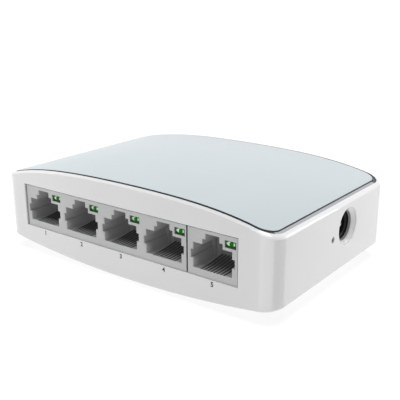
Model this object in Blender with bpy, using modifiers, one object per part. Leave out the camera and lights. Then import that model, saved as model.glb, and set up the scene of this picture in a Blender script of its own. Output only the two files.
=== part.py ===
"""Five-port desktop network switch, as an assembly of separate pieces.

Metres, +Z up. The origin is on the surface that the switch stands on, under the
middle of the casing. The sockets face -Y, with port 1 on the -X side, and the
power socket is in the +X wall.
"""

import math

import bmesh
import bpy
from mathutils import Matrix, Vector

MM = 0.001
GAP = 0.3 * MM

# Casing: a rounded rectangle in plan, with an arched top and an arched belly.
BODY_WIDTH = 98.4 * MM
BODY_DEPTH = 63.2 * MM
CORNER_RADIUS = 4.7 * MM
WALL = 2.0 * MM
ROOF = 2.8 * MM
RIDGE_HEIGHT = 28.6 * MM
TOP_DROP = 5.1 * MM
TOP_SQUARE_SHARE = 0.40
BELLY_HEIGHT = 0.8 * MM
BELLY_RISE = 3.6 * MM
BELLY_SQUARE_SHARE = 0.89
TOP_ROUND = 1.0 * MM
BELLY_ROUND = 1.5 * MM

# Top plate, let into the roof almost flush, with a shallow groove all round.
PLATE_SIDE_INSET = 2.4 * MM
PLATE_END_INSET = 1.42 * MM
PLATE_RADIUS = 4.0 * MM
PLATE_PROUD = 0.05 * MM
PLATE_SEAT = 0.9 * MM
PLATE_ROUND = 0.15 * MM
GROOVE_WIDTH = 0.7 * MM
GROOVE_DEPTH = 0.32 * MM

# Circuit board.
BOARD_BOTTOM = 6.6 * MM
BOARD_THICKNESS = 1.6 * MM
BOARD_TOP = BOARD_BOTTOM + BOARD_THICKNESS
BOARD_HALF_WIDTH = 39.8 * MM
BOARD_FRONT = -29.2 * MM
BOARD_BACK = 27.6 * MM
PART_BASE = BOARD_TOP + GAP
CAPACITOR_X = 24.0 * MM
CAPACITOR_YS = (15.5 * MM, 23.5 * MM)
CAPACITOR_HEIGHT = 9.5 * MM
CAPACITOR_RADIUS = 3.15 * MM
CAPACITOR_BEVEL = 0.4 * MM

# Sockets: heights are above the resting surface, widths are halves.
PORT_PITCH = 15.58 * MM
PORT_1_X = -32.4 * MM
PORT_5_X = 30.3 * MM
PORT_XS = [PORT_1_X + i * PORT_PITCH for i in range(4)] + [PORT_5_X]
WINDOW_LEFT = -40.3 * MM
WINDOW_RIGHT = 38.4 * MM
WINDOW_BOTTOM = 8.45 * MM
WINDOW_TOP = 21.7 * MM
WINDOW_SPLIT = 22.3 * MM
FACE_RECESS = 0.5 * MM
HOUSING_FRONT = -BODY_DEPTH / 2 + FACE_RECESS
HOUSING_DEPTH = 16.0 * MM
SOCKET_FLOOR = 10.55 * MM
SOCKET_DEPTH = 9.3 * MM
SOCKET_STEPS = [
    # half width, height of its upper edge
    (6.02 * MM, 13.1 * MM),
    (6.82 * MM, 15.4 * MM),
    (6.02 * MM, 17.4 * MM),
    (3.12 * MM, 18.85 * MM),
    (2.12 * MM, 20.45 * MM),
]
REAR_HALF_WIDTH = 5.7 * MM
REAR_BOTTOM = 9.5 * MM
REAR_TOP = 17.1 * MM
POCKET_HALF_WIDTH = 4.2 * MM
POCKET_LIP = 0.35 * MM
PEG_RADIUS = 1.5 * MM
PEG_BOTTOM = 5.9 * MM
PEG_DEPTH = 8.0 * MM
PEG_OFFSET = 5.7 * MM

# Contact wires: a comb of eight straight wires, rising to the rear from a bar at the front.
WIRE_COUNT = 8
WIRE_PITCH = 1.016 * MM
WIRE_WIDTH = 0.46 * MM
WIRE_THICKNESS = 0.3 * MM
WIRE_PIVOT_Y = HOUSING_FRONT + 0.85 * MM
WIRE_PIVOT_Z = 10.17 * MM
WIRE_LENGTH = 9.4 * MM
WIRE_SLOPE = math.radians(7.5)
WIRE_BAR = 0.36 * MM

# Rear block of each socket, with a comb of slots that guides the wires' free ends.
COMB_FRONT = HOUSING_FRONT + 9.6 * MM
COMB_BACK = HOUSING_FRONT + 15.6 * MM
COMB_SLOT_DEPTH = 1.4 * MM
COMB_SLOT_WIDTH = 0.66 * MM
COMB_SLOT_TOP = 11.8 * MM

# Status lamps beside the keyways.
LAMP_LEFT = 3.85 * MM
LAMP_RIGHT = 7.25 * MM
LAMP_BOTTOM = 18.25 * MM
LAMP_TOP = 20.15 * MM
LAMP_SET_BACK = 0.6 * MM
LAMP_LENGTH = 6.0 * MM
LAMP_DOME_RADIUS = 0.62 * MM

# Power socket in the +X wall.
JACK_Y = 6.9 * MM
JACK_Z = 16.0 * MM
JACK_MOUTH_RADIUS = 5.5 * MM
JACK_THROAT_RADIUS = 4.3 * MM
JACK_FACE_X = BODY_WIDTH / 2 - WALL - GAP
JACK_LENGTH = 14.0 * MM
JACK_HALF_WIDTH = 4.6 * MM
JACK_TOP = 20.6 * MM
JACK_FLANGE_RADIUS = 4.1 * MM
JACK_FLANGE_THICKNESS = 2.0 * MM
JACK_BORE_RADIUS = 3.15 * MM
JACK_BORE_DEPTH = 10.0 * MM
JACK_PIN_RADIUS = 1.0 * MM
PIN_SEAT_START = 1.3 * MM
PIN_SEAT_LENGTH = 4.0 * MM
PIN_SET_BACK = 0.1 * MM
PIN_BEVEL = 0.4 * MM
LEAF_REAR = 9.0 * MM
LEAF_WIDTH = 2.0 * MM
LEAF_THICKNESS = 0.3 * MM

# Power lamp: a light pipe from the board to a pinhole in the +X wall.
PINHOLE_Y = -1.9 * MM
PINHOLE_Z = 14.5 * MM
PINHOLE_RADIUS = 0.75 * MM
PIPE_X = 38.0 * MM
PIPE_RADIUS = 1.2 * MM
PIPE_NOSE_RADIUS = 0.45 * MM

# Feet, fasteners and the bottom cover.
FOOT_X = 33.0 * MM
FOOT_Y = 20.0 * MM
FOOT_RADIUS = 4.2 * MM
FOOT_BEVEL = 0.35 * MM
FOOT_SEAT = 3.1 * MM
COVER_INSET = WALL + GAP
COVER_LIFT = 0.2 * MM
COVER_THICKNESS = 2.0 * MM
POST_X = 43.4 * MM
POST_Y = 24.0 * MM
POST_RADIUS = 2.6 * MM
POST_BOTTOM = 8.3 * MM
POST_TOP = 23.0 * MM
BOSS_RADIUS = 3.2 * MM
BOSS_TOP = 8.0 * MM
SCREW_SHANK_RADIUS = 1.2 * MM
SCREW_HOLE_RADIUS = 1.5 * MM
SCREW_HEAD_RADIUS = 2.2 * MM
SCREW_HEAD_BOTTOM = 4.4 * MM
SCREW_HEAD_HEIGHT = 1.3 * MM
SCREW_TIP = 14.0 * MM
BOARD_SCREW_X = 34.0 * MM
BOARD_SCREW_Y = 23.0 * MM
BOARD_SCREW_HEAD_HEIGHT = 1.6 * MM
BOARD_SCREW_TIP_LIFT = 1.4 * MM
STANDOFF_RADIUS = 2.6 * MM
CROSS_LENGTH = 2.4 * MM
CROSS_WIDTH = 0.6 * MM
CROSS_DEPTH = 0.7 * MM
LABEL_HALF_WIDTH = 17.0 * MM
LABEL_HALF_DEPTH = 11.0 * MM
LABEL_RADIUS = 1.7 * MM
LABEL_RECESS = 0.45 * MM
LABEL_LIFT = 0.1 * MM
LABEL_THICKNESS = 0.15 * MM

# Smoothness of the curved shapes.
ARCH_SEGMENTS = 18
CORNER_SEGMENTS = 6
EDGE_SEGMENTS = 3
ROUND_SEGMENTS = 24
SMALL_ROUND_SEGMENTS = 14
SMOOTH_ANGLE = math.radians(32)

# Colour, roughness and metallic value of each material.
FINISHES = {
    "white_plastic": ((0.78, 0.78, 0.78), 0.35, 0.0),
    "grey_blue_plate": ((0.66, 0.72, 0.75), 0.25, 0.0),
    "light_grey_plastic": ((0.46, 0.47, 0.46), 0.45, 0.0),
    "dark_grey_plastic": ((0.10, 0.10, 0.10), 0.5, 0.0),
    "black_plastic": ((0.015, 0.015, 0.016), 0.4, 0.0),
    "gold_plate": ((0.85, 0.62, 0.25), 0.25, 1.0),
    "nickel": ((0.75, 0.73, 0.70), 0.2, 1.0),
    "green_lens": ((0.10, 0.55, 0.12), 0.15, 0.0),
    "clear_plastic": ((0.75, 0.78, 0.78), 0.1, 0.0),
    "rubber": ((0.30, 0.31, 0.32), 0.8, 0.0),
    "steel": ((0.62, 0.62, 0.64), 0.3, 1.0),
    "circuit_board": ((0.03, 0.20, 0.07), 0.4, 0.0),
    "chip_black": ((0.03, 0.03, 0.03), 0.55, 0.0),
    "capacitor_sleeve": ((0.05, 0.06, 0.12), 0.35, 0.0),
    "paper_label": ((0.88, 0.88, 0.87), 0.6, 0.0),
}

PARTS = "network_switch"
CUTTERS = "cutters"


# ---------------------------------------------------------------- helpers


def clear_scene():
    for thing in list(bpy.data.objects):
        bpy.data.objects.remove(thing, do_unlink=True)


def collection(name):
    """The named collection, made on first use."""
    found = bpy.data.collections.get(name)
    if found is None:
        found = bpy.data.collections.new(name)
        bpy.context.scene.collection.children.link(found)
    return found


def material(name):
    found = bpy.data.materials.get(name)
    if found is None:
        colour, roughness, metallic = FINISHES[name]
        found = bpy.data.materials.new(name)
        found.use_nodes = True
        shader = found.node_tree.nodes["Principled BSDF"]
        shader.inputs["Base Color"].default_value = (*colour, 1.0)
        shader.inputs["Roughness"].default_value = roughness
        shader.inputs["Metallic"].default_value = metallic
        found.diffuse_color = (*colour, 1.0)
    return found


def part_from(bm, name, finish):
    """Turn a bmesh into a named piece of the switch."""
    bmesh.ops.recalc_face_normals(bm, faces=bm.faces)
    mesh = bpy.data.meshes.new(name)
    bm.to_mesh(mesh)
    bm.free()
    mesh.shade_smooth()
    mesh.set_sharp_from_angle(angle=SMOOTH_ANGLE)
    piece = bpy.data.objects.new(name, mesh)
    mesh.materials.append(material(finish))
    collection(PARTS).objects.link(piece)
    return piece


def cutter_from(bm, name):
    """Turn a bmesh into a hidden tool for a Boolean."""
    bmesh.ops.recalc_face_normals(bm, faces=bm.faces)
    mesh = bpy.data.meshes.new(name)
    bm.to_mesh(mesh)
    bm.free()
    tool = bpy.data.objects.new(name, mesh)
    tool.hide_render = True
    tool.display_type = "WIRE"
    collection(CUTTERS).objects.link(tool)
    return tool


def boolean(piece, bm, label, operation="DIFFERENCE"):
    """Cut a piece with the solid in bm, or join that solid to it."""
    modifier = piece.modifiers.new(label, "BOOLEAN")
    modifier.operation = operation
    modifier.solver = "EXACT"
    modifier.object = cutter_from(bm, f"{piece.name}_{label}")


def bevel(piece, width, segments=2):
    modifier = piece.modifiers.new("bevel", "BEVEL")
    modifier.width = width
    modifier.segments = segments
    modifier.limit_method = "ANGLE"
    modifier.angle_limit = math.radians(40)


def add_box(bm, low, high):
    """A box between two corners."""
    low = Vector(low)
    high = Vector(high)
    place = Matrix.Translation((low + high) / 2) @ Matrix.Diagonal((*(high - low), 1.0))
    bmesh.ops.create_cube(bm, size=1.0, matrix=place)
    return bm


def box(low, high):
    return add_box(bmesh.new(), low, high)


def add_cone(bm, start, direction, length, start_radius, end_radius, segments=ROUND_SEGMENTS):
    """A cone or cylinder from the point start, along a row axis."""
    direction = Vector(direction)
    turn = Vector((0, 0, 1)).rotation_difference(direction).to_matrix().to_4x4()
    middle = Vector(start) + direction * (length / 2)
    bmesh.ops.create_cone(
        bm,
        cap_ends=True,
        segments=segments,
        radius1=start_radius,
        radius2=end_radius,
        depth=length,
        matrix=Matrix.Translation(middle) @ turn,
    )
    return bm


def cylinder(start, direction, length, radius, segments=ROUND_SEGMENTS):
    return add_cone(bmesh.new(), start, direction, length, radius, radius, segments)


def add_prism(bm, outline, place, start, end):
    """Sweep a flat outline between two distances; place(u, v, w) gives the point in space."""
    near = [bm.verts.new(place(u, v, start)) for u, v in outline]
    far = [bm.verts.new(place(u, v, end)) for u, v in outline]
    bm.faces.new(near)
    bm.faces.new(list(reversed(far)))
    for i in range(len(outline)):
        j = (i + 1) % len(outline)
        bm.faces.new((near[i], near[j], far[j], far[i]))
    return bm


def along_y(u, v, w):
    """Place an outline drawn in X and Z and swept along Y."""
    return (u, w, v)


def along_z(u, v, w):
    """Place an outline drawn in X and Y and swept along Z."""
    return (u, v, w)


# ---------------------------------------------------------------- arched solids


def arch(x, height_at_wall, square_share):
    """How far an arch has come from its middle towards the wall, at x."""
    t = x / (BODY_WIDTH / 2)
    return height_at_wall * (square_share * t**2 + (1 - square_share) * t**4)


def top_height(x):
    return RIDGE_HEIGHT - arch(x, TOP_DROP, TOP_SQUARE_SHARE)


def belly_height(x):
    return BELLY_HEIGHT + arch(x, BELLY_RISE, BELLY_SQUARE_SHARE)


def plan_columns(half_width, half_depth, radius):
    """(x, half depth) from left to right along a rectangle with round corners."""
    straight = half_width - radius
    corner = []
    for step in range(CORNER_SEGMENTS + 1):
        angle = math.pi / 2 * step / CORNER_SEGMENTS
        x = straight + radius * math.sin(angle)
        y = half_depth - radius * (1 - math.cos(angle))
        corner.append((x, y))
    middle = []
    for step in range(1, ARCH_SEGMENTS):
        middle.append((straight * (2 * step / ARCH_SEGMENTS - 1), half_depth))
    return [(-x, y) for x, y in reversed(corner)] + middle + corner


def add_arched_solid(bm, rings):
    """A closed solid through rings: each is (half width, half depth, radius, height function)."""
    fronts = []
    backs = []
    for half_width, half_depth, radius, height in rings:
        columns = plan_columns(half_width, half_depth, radius)
        fronts.append([bm.verts.new((x, -y, height(x))) for x, y in columns])
        backs.append([bm.verts.new((x, y, height(x))) for x, y in columns])
    loops = [front + back[::-1] for front, back in zip(fronts, backs)]
    for lower, upper in zip(loops, loops[1:]):
        for i in range(len(lower)):
            j = (i + 1) % len(lower)
            bm.faces.new((lower[i], lower[j], upper[j], upper[i]))
    for front, back in ((fronts[0], backs[0]), (fronts[-1], backs[-1])):
        for i in range(len(front) - 1):
            bm.faces.new((front[i], front[i + 1], back[i + 1], back[i]))
    return bm


def casing_ring(inset, height):
    return (BODY_WIDTH / 2 - inset, BODY_DEPTH / 2 - inset, CORNER_RADIUS - inset, height)


def plate_ring(inset, height):
    """A ring of the top plate's outline, moved inwards by inset."""
    return (
        BODY_WIDTH / 2 - PLATE_SIDE_INSET - inset,
        BODY_DEPTH / 2 - PLATE_END_INSET - inset,
        PLATE_RADIUS - inset,
        height,
    )


def raised(height, lift):
    """A height function moved up by lift."""
    return lambda x: height(x) + lift


def quarter_angles(segments):
    return [math.pi / 2 * step / segments for step in range(segments + 1)]


# ---------------------------------------------------------------- casing


def casing_solid():
    """The outside of the casing, with its lower and upper edges rounded."""
    rings = []
    for angle in quarter_angles(EDGE_SEGMENTS):
        lift = BELLY_ROUND * (1 - math.cos(angle))
        rings.append(casing_ring(BELLY_ROUND * (1 - math.sin(angle)), raised(belly_height, lift)))
    for angle in quarter_angles(EDGE_SEGMENTS):
        drop = TOP_ROUND * (1 - math.sin(angle))
        rings.append(casing_ring(TOP_ROUND * (1 - math.cos(angle)), raised(top_height, -drop)))
    return add_arched_solid(bmesh.new(), rings)


def make_upper_shell():
    shell = part_from(casing_solid(), "upper_shell", "white_plastic")

    cavity = [casing_ring(WALL, lambda x: -MM), casing_ring(WALL, raised(top_height, -ROOF))]
    boolean(shell, add_arched_solid(bmesh.new(), cavity), "cavity")

    seat = raised(top_height, -PLATE_SEAT - GAP)
    groove_floor = raised(top_height, -GROOVE_DEPTH)
    above = raised(top_height, 3 * MM)
    recess = [
        plate_ring(-GAP, seat),
        plate_ring(-GAP, groove_floor),
        plate_ring(-GROOVE_WIDTH, groove_floor),
        plate_ring(-GROOVE_WIDTH, above),
    ]
    boolean(shell, add_arched_solid(bmesh.new(), recess), "plate_seat")

    front = -BODY_DEPTH / 2
    window = box(
        (WINDOW_LEFT, front - MM, WINDOW_BOTTOM),
        (WINDOW_RIGHT, front + WALL + MM, WINDOW_TOP),
    )
    boolean(shell, window, "socket_window")

    posts = bmesh.new()
    for x, y in corner_places(POST_X, POST_Y):
        add_cone(posts, (x, y, POST_BOTTOM), (0, 0, 1), POST_TOP - POST_BOTTOM, POST_RADIUS,
                 POST_RADIUS, SMALL_ROUND_SEGMENTS)
    boolean(shell, posts, "screw_posts", "UNION")
    pilots = bmesh.new()
    for x, y in corner_places(POST_X, POST_Y):
        add_cone(pilots, (x, y, POST_BOTTOM - MM), (0, 0, 1), SCREW_TIP - POST_BOTTOM + 2 * MM,
                 SCREW_HOLE_RADIUS, SCREW_HOLE_RADIUS, SMALL_ROUND_SEGMENTS)
    boolean(shell, pilots, "pilot_holes")

    wall_x = BODY_WIDTH / 2
    slope = (JACK_MOUTH_RADIUS - JACK_THROAT_RADIUS) / WALL
    mouth = add_cone(bmesh.new(), (wall_x - WALL - MM, JACK_Y, JACK_Z), (1, 0, 0), WALL + 2 * MM,
                     JACK_THROAT_RADIUS - slope * MM, JACK_MOUTH_RADIUS + slope * MM)
    boolean(shell, mouth, "jack_mouth")
    pinhole = cylinder((wall_x - WALL - MM, PINHOLE_Y, PINHOLE_Z), (1, 0, 0), WALL + 2 * MM,
                       PINHOLE_RADIUS, SMALL_ROUND_SEGMENTS)
    boolean(shell, pinhole, "pinhole")


def make_top_plate():
    rings = [plate_ring(0, raised(top_height, -PLATE_SEAT))]
    for angle in quarter_angles(2):
        lift = PLATE_PROUD - PLATE_ROUND * (1 - math.sin(angle))
        rings.append(plate_ring(PLATE_ROUND * (1 - math.cos(angle)), raised(top_height, lift)))
    part_from(add_arched_solid(bmesh.new(), rings), "top_plate", "grey_blue_plate")


def corner_places(x, y):
    return [(sx * x, sy * y) for sy in (-1, 1) for sx in (-1, 1)]


def make_bottom_cover():
    lower = raised(belly_height, COVER_LIFT)
    upper = raised(belly_height, COVER_LIFT + COVER_THICKNESS)
    rings = [casing_ring(COVER_INSET, lower), casing_ring(COVER_INSET, upper)]
    cover = part_from(add_arched_solid(bmesh.new(), rings), "bottom_cover", "white_plastic")

    risers = bmesh.new()
    for x, y in corner_places(POST_X, POST_Y):
        base = belly_height(x) + MM
        add_cone(risers, (x, y, base), (0, 0, 1), BOSS_TOP - base, BOSS_RADIUS, BOSS_RADIUS,
                 SMALL_ROUND_SEGMENTS)
    for x in (-BOARD_SCREW_X, BOARD_SCREW_X):
        base = belly_height(x) + MM
        add_cone(risers, (x, BOARD_SCREW_Y, base), (0, 0, 1), BOARD_BOTTOM - GAP - base,
                 STANDOFF_RADIUS, STANDOFF_RADIUS, SMALL_ROUND_SEGMENTS)
    boolean(cover, risers, "risers", "UNION")

    holes = bmesh.new()
    seats = bmesh.new()
    for x, y in corner_places(POST_X, POST_Y):
        add_cone(holes, (x, y, 0), (0, 0, 1), BOSS_TOP + MM, SCREW_HOLE_RADIUS, SCREW_HOLE_RADIUS,
                 SMALL_ROUND_SEGMENTS)
        depth = SCREW_HEAD_BOTTOM + SCREW_HEAD_HEIGHT + GAP
        add_cone(seats, (x, y, 0), (0, 0, 1), depth, SCREW_HEAD_RADIUS + GAP,
                 SCREW_HEAD_RADIUS + GAP, SMALL_ROUND_SEGMENTS)
    for x in (-BOARD_SCREW_X, BOARD_SCREW_X):
        start = belly_height(x) + COVER_LIFT + MM
        add_cone(holes, (x, BOARD_SCREW_Y, start), (0, 0, 1), BOARD_BOTTOM - start,
                 SCREW_HOLE_RADIUS, SCREW_HOLE_RADIUS, SMALL_ROUND_SEGMENTS)
    for x, y in corner_places(FOOT_X, FOOT_Y):
        add_cone(seats, (x, y, 0), (0, 0, 1), FOOT_SEAT, FOOT_RADIUS + GAP, FOOT_RADIUS + GAP)
    boolean(cover, holes, "screw_holes")
    boolean(cover, seats, "seats")

    label_bed = [
        label_ring(GAP, lambda x: 0.0),
        label_ring(GAP, raised(lower, LABEL_RECESS)),
    ]
    boolean(cover, add_arched_solid(bmesh.new(), label_bed), "label_bed")


def label_ring(margin, height):
    """A ring of the label's outline, moved outwards by margin."""
    return (LABEL_HALF_WIDTH + margin, LABEL_HALF_DEPTH + margin, LABEL_RADIUS + margin, height)


def make_label():
    """A blank rating label in its bed on the belly."""
    lower = raised(belly_height, COVER_LIFT + LABEL_LIFT)
    upper = raised(lower, LABEL_THICKNESS)
    rings = [label_ring(0, lower), label_ring(0, upper)]
    part_from(add_arched_solid(bmesh.new(), rings), "blank_label", "paper_label")


def make_feet():
    for side, sx in (("left", -1), ("right", 1)):
        for end, sy in (("front", -1), ("back", 1)):
            place = (sx * FOOT_X, sy * FOOT_Y, 0)
            solid = cylinder(place, (0, 0, 1), FOOT_SEAT - GAP, FOOT_RADIUS)
            foot = part_from(solid, f"rubber_foot_{end}_{side}", "rubber")
            bevel(foot, FOOT_BEVEL)


def make_case_screws():
    for side, sx in (("left", -1), ("right", 1)):
        for end, sy in (("front", -1), ("back", 1)):
            x = sx * POST_X
            y = sy * POST_Y
            head = cylinder((x, y, SCREW_HEAD_BOTTOM), (0, 0, 1), SCREW_HEAD_HEIGHT,
                            SCREW_HEAD_RADIUS, SMALL_ROUND_SEGMENTS)
            screw = part_from(head, f"case_screw_{end}_{side}", "steel")
            shank = cylinder((x, y, SCREW_HEAD_BOTTOM + MM), (0, 0, 1),
                             SCREW_TIP - SCREW_HEAD_BOTTOM - MM, SCREW_SHANK_RADIUS,
                             SMALL_ROUND_SEGMENTS)
            boolean(screw, shank, "shank", "UNION")
            boolean(screw, cross_recess(x, y, SCREW_HEAD_BOTTOM), "cross")


def cross_recess(x, y, face):
    """The crossed slots of a screw's driver recess, cut through its face along Z."""
    long_half = CROSS_LENGTH / 2
    short_half = CROSS_WIDTH / 2
    arm = [(short_half, short_half), (long_half, short_half), (long_half, -short_half)]
    outline = []
    for turn in range(4):
        cosine = round(math.cos(turn * math.pi / 2))
        sine = round(math.sin(turn * math.pi / 2))
        outline += [(x + u * cosine + v * sine, y + v * cosine - u * sine) for u, v in arm]
    return add_prism(bmesh.new(), outline, along_z, face - CROSS_DEPTH, face + CROSS_DEPTH)


def make_board_screws():
    for side, sx in (("left", -1), ("right", 1)):
        x = sx * BOARD_SCREW_X
        head = cylinder((x, BOARD_SCREW_Y, PART_BASE), (0, 0, 1), BOARD_SCREW_HEAD_HEIGHT,
                        SCREW_HEAD_RADIUS, SMALL_ROUND_SEGMENTS)
        screw = part_from(head, f"board_screw_{side}", "steel")
        tip = belly_height(x) + COVER_LIFT + BOARD_SCREW_TIP_LIFT
        shank = cylinder((x, BOARD_SCREW_Y, tip), (0, 0, 1), PART_BASE + MM - tip,
                         SCREW_SHANK_RADIUS, SMALL_ROUND_SEGMENTS)
        boolean(screw, shank, "shank", "UNION")
        cross = cross_recess(x, BOARD_SCREW_Y, PART_BASE + BOARD_SCREW_HEAD_HEIGHT)
        boolean(screw, cross, "cross")


# ---------------------------------------------------------------- board and what is on it


def peg_xs():
    """Places of the plastic pegs that hold the socket housings on the board."""
    return [PORT_XS[0] - PEG_OFFSET, PORT_XS[3] + PEG_OFFSET,
            PORT_XS[4] - PEG_OFFSET, PORT_XS[4] + PEG_OFFSET]


def make_circuit_board():
    low = (-BOARD_HALF_WIDTH, BOARD_FRONT, BOARD_BOTTOM)
    high = (BOARD_HALF_WIDTH, BOARD_BACK, BOARD_TOP)
    board = part_from(box(low, high), "circuit_board", "circuit_board")
    holes = bmesh.new()
    for x in peg_xs():
        add_cone(holes, (x, HOUSING_FRONT + PEG_DEPTH, BOARD_BOTTOM - MM), (0, 0, 1),
                 BOARD_THICKNESS + 2 * MM, PEG_RADIUS + GAP, PEG_RADIUS + GAP,
                 SMALL_ROUND_SEGMENTS)
    for x in (-BOARD_SCREW_X, BOARD_SCREW_X):
        add_cone(holes, (x, BOARD_SCREW_Y, BOARD_BOTTOM - MM), (0, 0, 1),
                 BOARD_THICKNESS + 2 * MM, SCREW_HOLE_RADIUS, SCREW_HOLE_RADIUS,
                 SMALL_ROUND_SEGMENTS)
    boolean(board, holes, "holes")


def make_board_parts():
    """The parts soldered on the board. Blocks and cans are listed in millimetres."""
    blocks = [
        # name, finish, centre in X and Y, size, bevel
        ("switch_chip", "chip_black", (-7.0, 9.0), (14.0, 14.0, 1.4), 0.2),
        ("memory_chip", "chip_black", (-23.0, 9.0), (5.0, 4.0, 1.6), 0.15),
        ("transformer_block_1_4", "black_plastic", (-9.0, -9.0), (34.0, 9.0, 5.8), 0.4),
        ("transformer_block_5", "black_plastic", (30.0, -9.0), (12.6, 9.0, 5.8), 0.4),
        ("voltage_regulator", "chip_black", (15.5, 9.0), (6.5, 3.6, 1.7), 0.15),
        ("power_inductor", "dark_grey_plastic", (15.0, 17.5), (7.3, 7.3, 3.6), 1.2),
        ("crystal", "nickel", (-7.0, 20.5), (11.0, 4.6, 3.5), 1.2),
        ("power_lamp_chip", "clear_plastic", (38.0, -1.9), (2.0, 1.4, 0.9), 0.1),
    ]
    for name, finish, (x, y), (width, depth, height), edge in blocks:
        low = ((x - width / 2) * MM, (y - depth / 2) * MM, PART_BASE)
        high = ((x + width / 2) * MM, (y + depth / 2) * MM, PART_BASE + height * MM)
        bevel(part_from(box(low, high), name, finish), edge * MM)
    for index, y in enumerate(CAPACITOR_YS, start=1):
        can = cylinder((CAPACITOR_X, y, PART_BASE), (0, 0, 1), CAPACITOR_HEIGHT, CAPACITOR_RADIUS)
        capacitor = part_from(can, f"capacitor_{index}", "capacitor_sleeve")
        bevel(capacitor, CAPACITOR_BEVEL)


# ---------------------------------------------------------------- sockets


def socket_outline(x):
    """Stepped outline of one socket's mouth, in X and Z."""
    right = []
    level = SOCKET_FLOOR
    for half_width, upper in SOCKET_STEPS:
        right.append((half_width, level))
        right.append((half_width, upper))
        level = upper
    left = [(-u, v) for u, v in reversed(right)]
    return [(x + u, v) for u, v in right + left]


def make_socket_housing(name, left, right, ports, pegs):
    low = (left, HOUSING_FRONT, PART_BASE)
    high = (right, HOUSING_FRONT + HOUSING_DEPTH, WINDOW_TOP - GAP)
    housing = part_from(box(low, high), name, "light_grey_plastic")

    studs = bmesh.new()
    for x in pegs:
        add_cone(studs, (x, HOUSING_FRONT + PEG_DEPTH, PEG_BOTTOM), (0, 0, 1),
                 PART_BASE + 0.5 * MM - PEG_BOTTOM, PEG_RADIUS, PEG_RADIUS, SMALL_ROUND_SEGMENTS)
    boolean(housing, studs, "pegs", "UNION")

    mouths = bmesh.new()
    rears = bmesh.new()
    pockets = bmesh.new()
    lamps = bmesh.new()
    for x in ports:
        add_prism(mouths, socket_outline(x), along_y, HOUSING_FRONT - MM,
                  HOUSING_FRONT + SOCKET_DEPTH)
        add_box(rears, (x - REAR_HALF_WIDTH, HOUSING_FRONT + SOCKET_DEPTH - 0.2 * MM, REAR_BOTTOM),
                (x + REAR_HALF_WIDTH, HOUSING_FRONT + HOUSING_DEPTH + MM, REAR_TOP))
        add_box(pockets, (x - POCKET_HALF_WIDTH, HOUSING_FRONT + POCKET_LIP, REAR_BOTTOM),
                (x + POCKET_HALF_WIDTH, HOUSING_FRONT + SOCKET_DEPTH, SOCKET_FLOOR + 0.4 * MM))
        add_box(lamps, (x + LAMP_LEFT, HOUSING_FRONT - MM, LAMP_BOTTOM),
                (x + LAMP_RIGHT, HOUSING_FRONT + LAMP_SET_BACK + LAMP_LENGTH + GAP, LAMP_TOP))
    boolean(housing, mouths, "mouths")
    boolean(housing, rears, "rears")
    boolean(housing, pockets, "wire_pockets")
    boolean(housing, lamps, "lamp_windows")


def make_contact_wires(port, x):
    """The eight spring wires of a socket, drawn flat about the pivot and then tilted up."""
    first = -WIRE_PITCH * (WIRE_COUNT - 1) / 2
    bar_half = -first + WIRE_WIDTH / 2
    outline = [(-bar_half, -WIRE_BAR)]
    outline.append((bar_half, -WIRE_BAR))
    for i in reversed(range(WIRE_COUNT)):
        centre = first + i * WIRE_PITCH
        outline.append((centre + WIRE_WIDTH / 2, WIRE_BAR if i < WIRE_COUNT - 1 else 0.0))
        outline.append((centre + WIRE_WIDTH / 2, WIRE_LENGTH))
        outline.append((centre - WIRE_WIDTH / 2, WIRE_LENGTH))
        outline.append((centre - WIRE_WIDTH / 2, WIRE_BAR if i > 0 else 0.0))
    bm = add_prism(bmesh.new(), outline, along_z, -WIRE_THICKNESS / 2, WIRE_THICKNESS / 2)
    wires = part_from(bm, f"port_{port}_contact_wires", "gold_plate")
    wires.location = (x, WIRE_PIVOT_Y, WIRE_PIVOT_Z)
    wires.rotation_euler = (WIRE_SLOPE, 0, 0)


def make_comb_block(port, x):
    low = (x - REAR_HALF_WIDTH + GAP, COMB_FRONT, REAR_BOTTOM + GAP)
    high = (x + REAR_HALF_WIDTH - GAP, COMB_BACK, REAR_TOP - GAP)
    block = part_from(box(low, high), f"port_{port}_comb_block", "dark_grey_plastic")
    slots = bmesh.new()
    for i in range(WIRE_COUNT):
        centre = x + (i - (WIRE_COUNT - 1) / 2) * WIRE_PITCH
        add_box(slots, (centre - COMB_SLOT_WIDTH / 2, COMB_FRONT - MM, REAR_BOTTOM - MM),
                (centre + COMB_SLOT_WIDTH / 2, COMB_FRONT + COMB_SLOT_DEPTH, COMB_SLOT_TOP))
    boolean(block, slots, "slots")


def make_lamp(port, x):
    """A status lamp: a square-sided body with a small dome towards the front."""
    face = HOUSING_FRONT + LAMP_SET_BACK + LAMP_DOME_RADIUS
    low = (x + LAMP_LEFT + GAP, face, LAMP_BOTTOM + GAP)
    high = (x + LAMP_RIGHT - GAP, HOUSING_FRONT + LAMP_SET_BACK + LAMP_LENGTH, LAMP_TOP - GAP)
    lamp = part_from(box(low, high), f"port_{port}_lamp", "green_lens")
    dome = bmesh.new()
    middle = ((low[0] + high[0]) / 2, face + 0.1 * MM, (low[2] + high[2]) / 2)
    bmesh.ops.create_uvsphere(dome, u_segments=16, v_segments=8, radius=LAMP_DOME_RADIUS,
                              matrix=Matrix.Translation(middle))
    boolean(lamp, dome, "dome", "UNION")


def make_sockets():
    split_gap = GAP / 2
    pegs = peg_xs()
    make_socket_housing("socket_housing_1_4", WINDOW_LEFT + GAP, WINDOW_SPLIT - split_gap,
                        PORT_XS[:4], pegs[:2])
    make_socket_housing("socket_housing_5", WINDOW_SPLIT + split_gap, WINDOW_RIGHT - GAP,
                        PORT_XS[4:], pegs[2:])
    for port, x in enumerate(PORT_XS, start=1):
        make_contact_wires(port, x)
        make_comb_block(port, x)
        make_lamp(port, x)


# ---------------------------------------------------------------- power socket and power lamp


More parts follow.
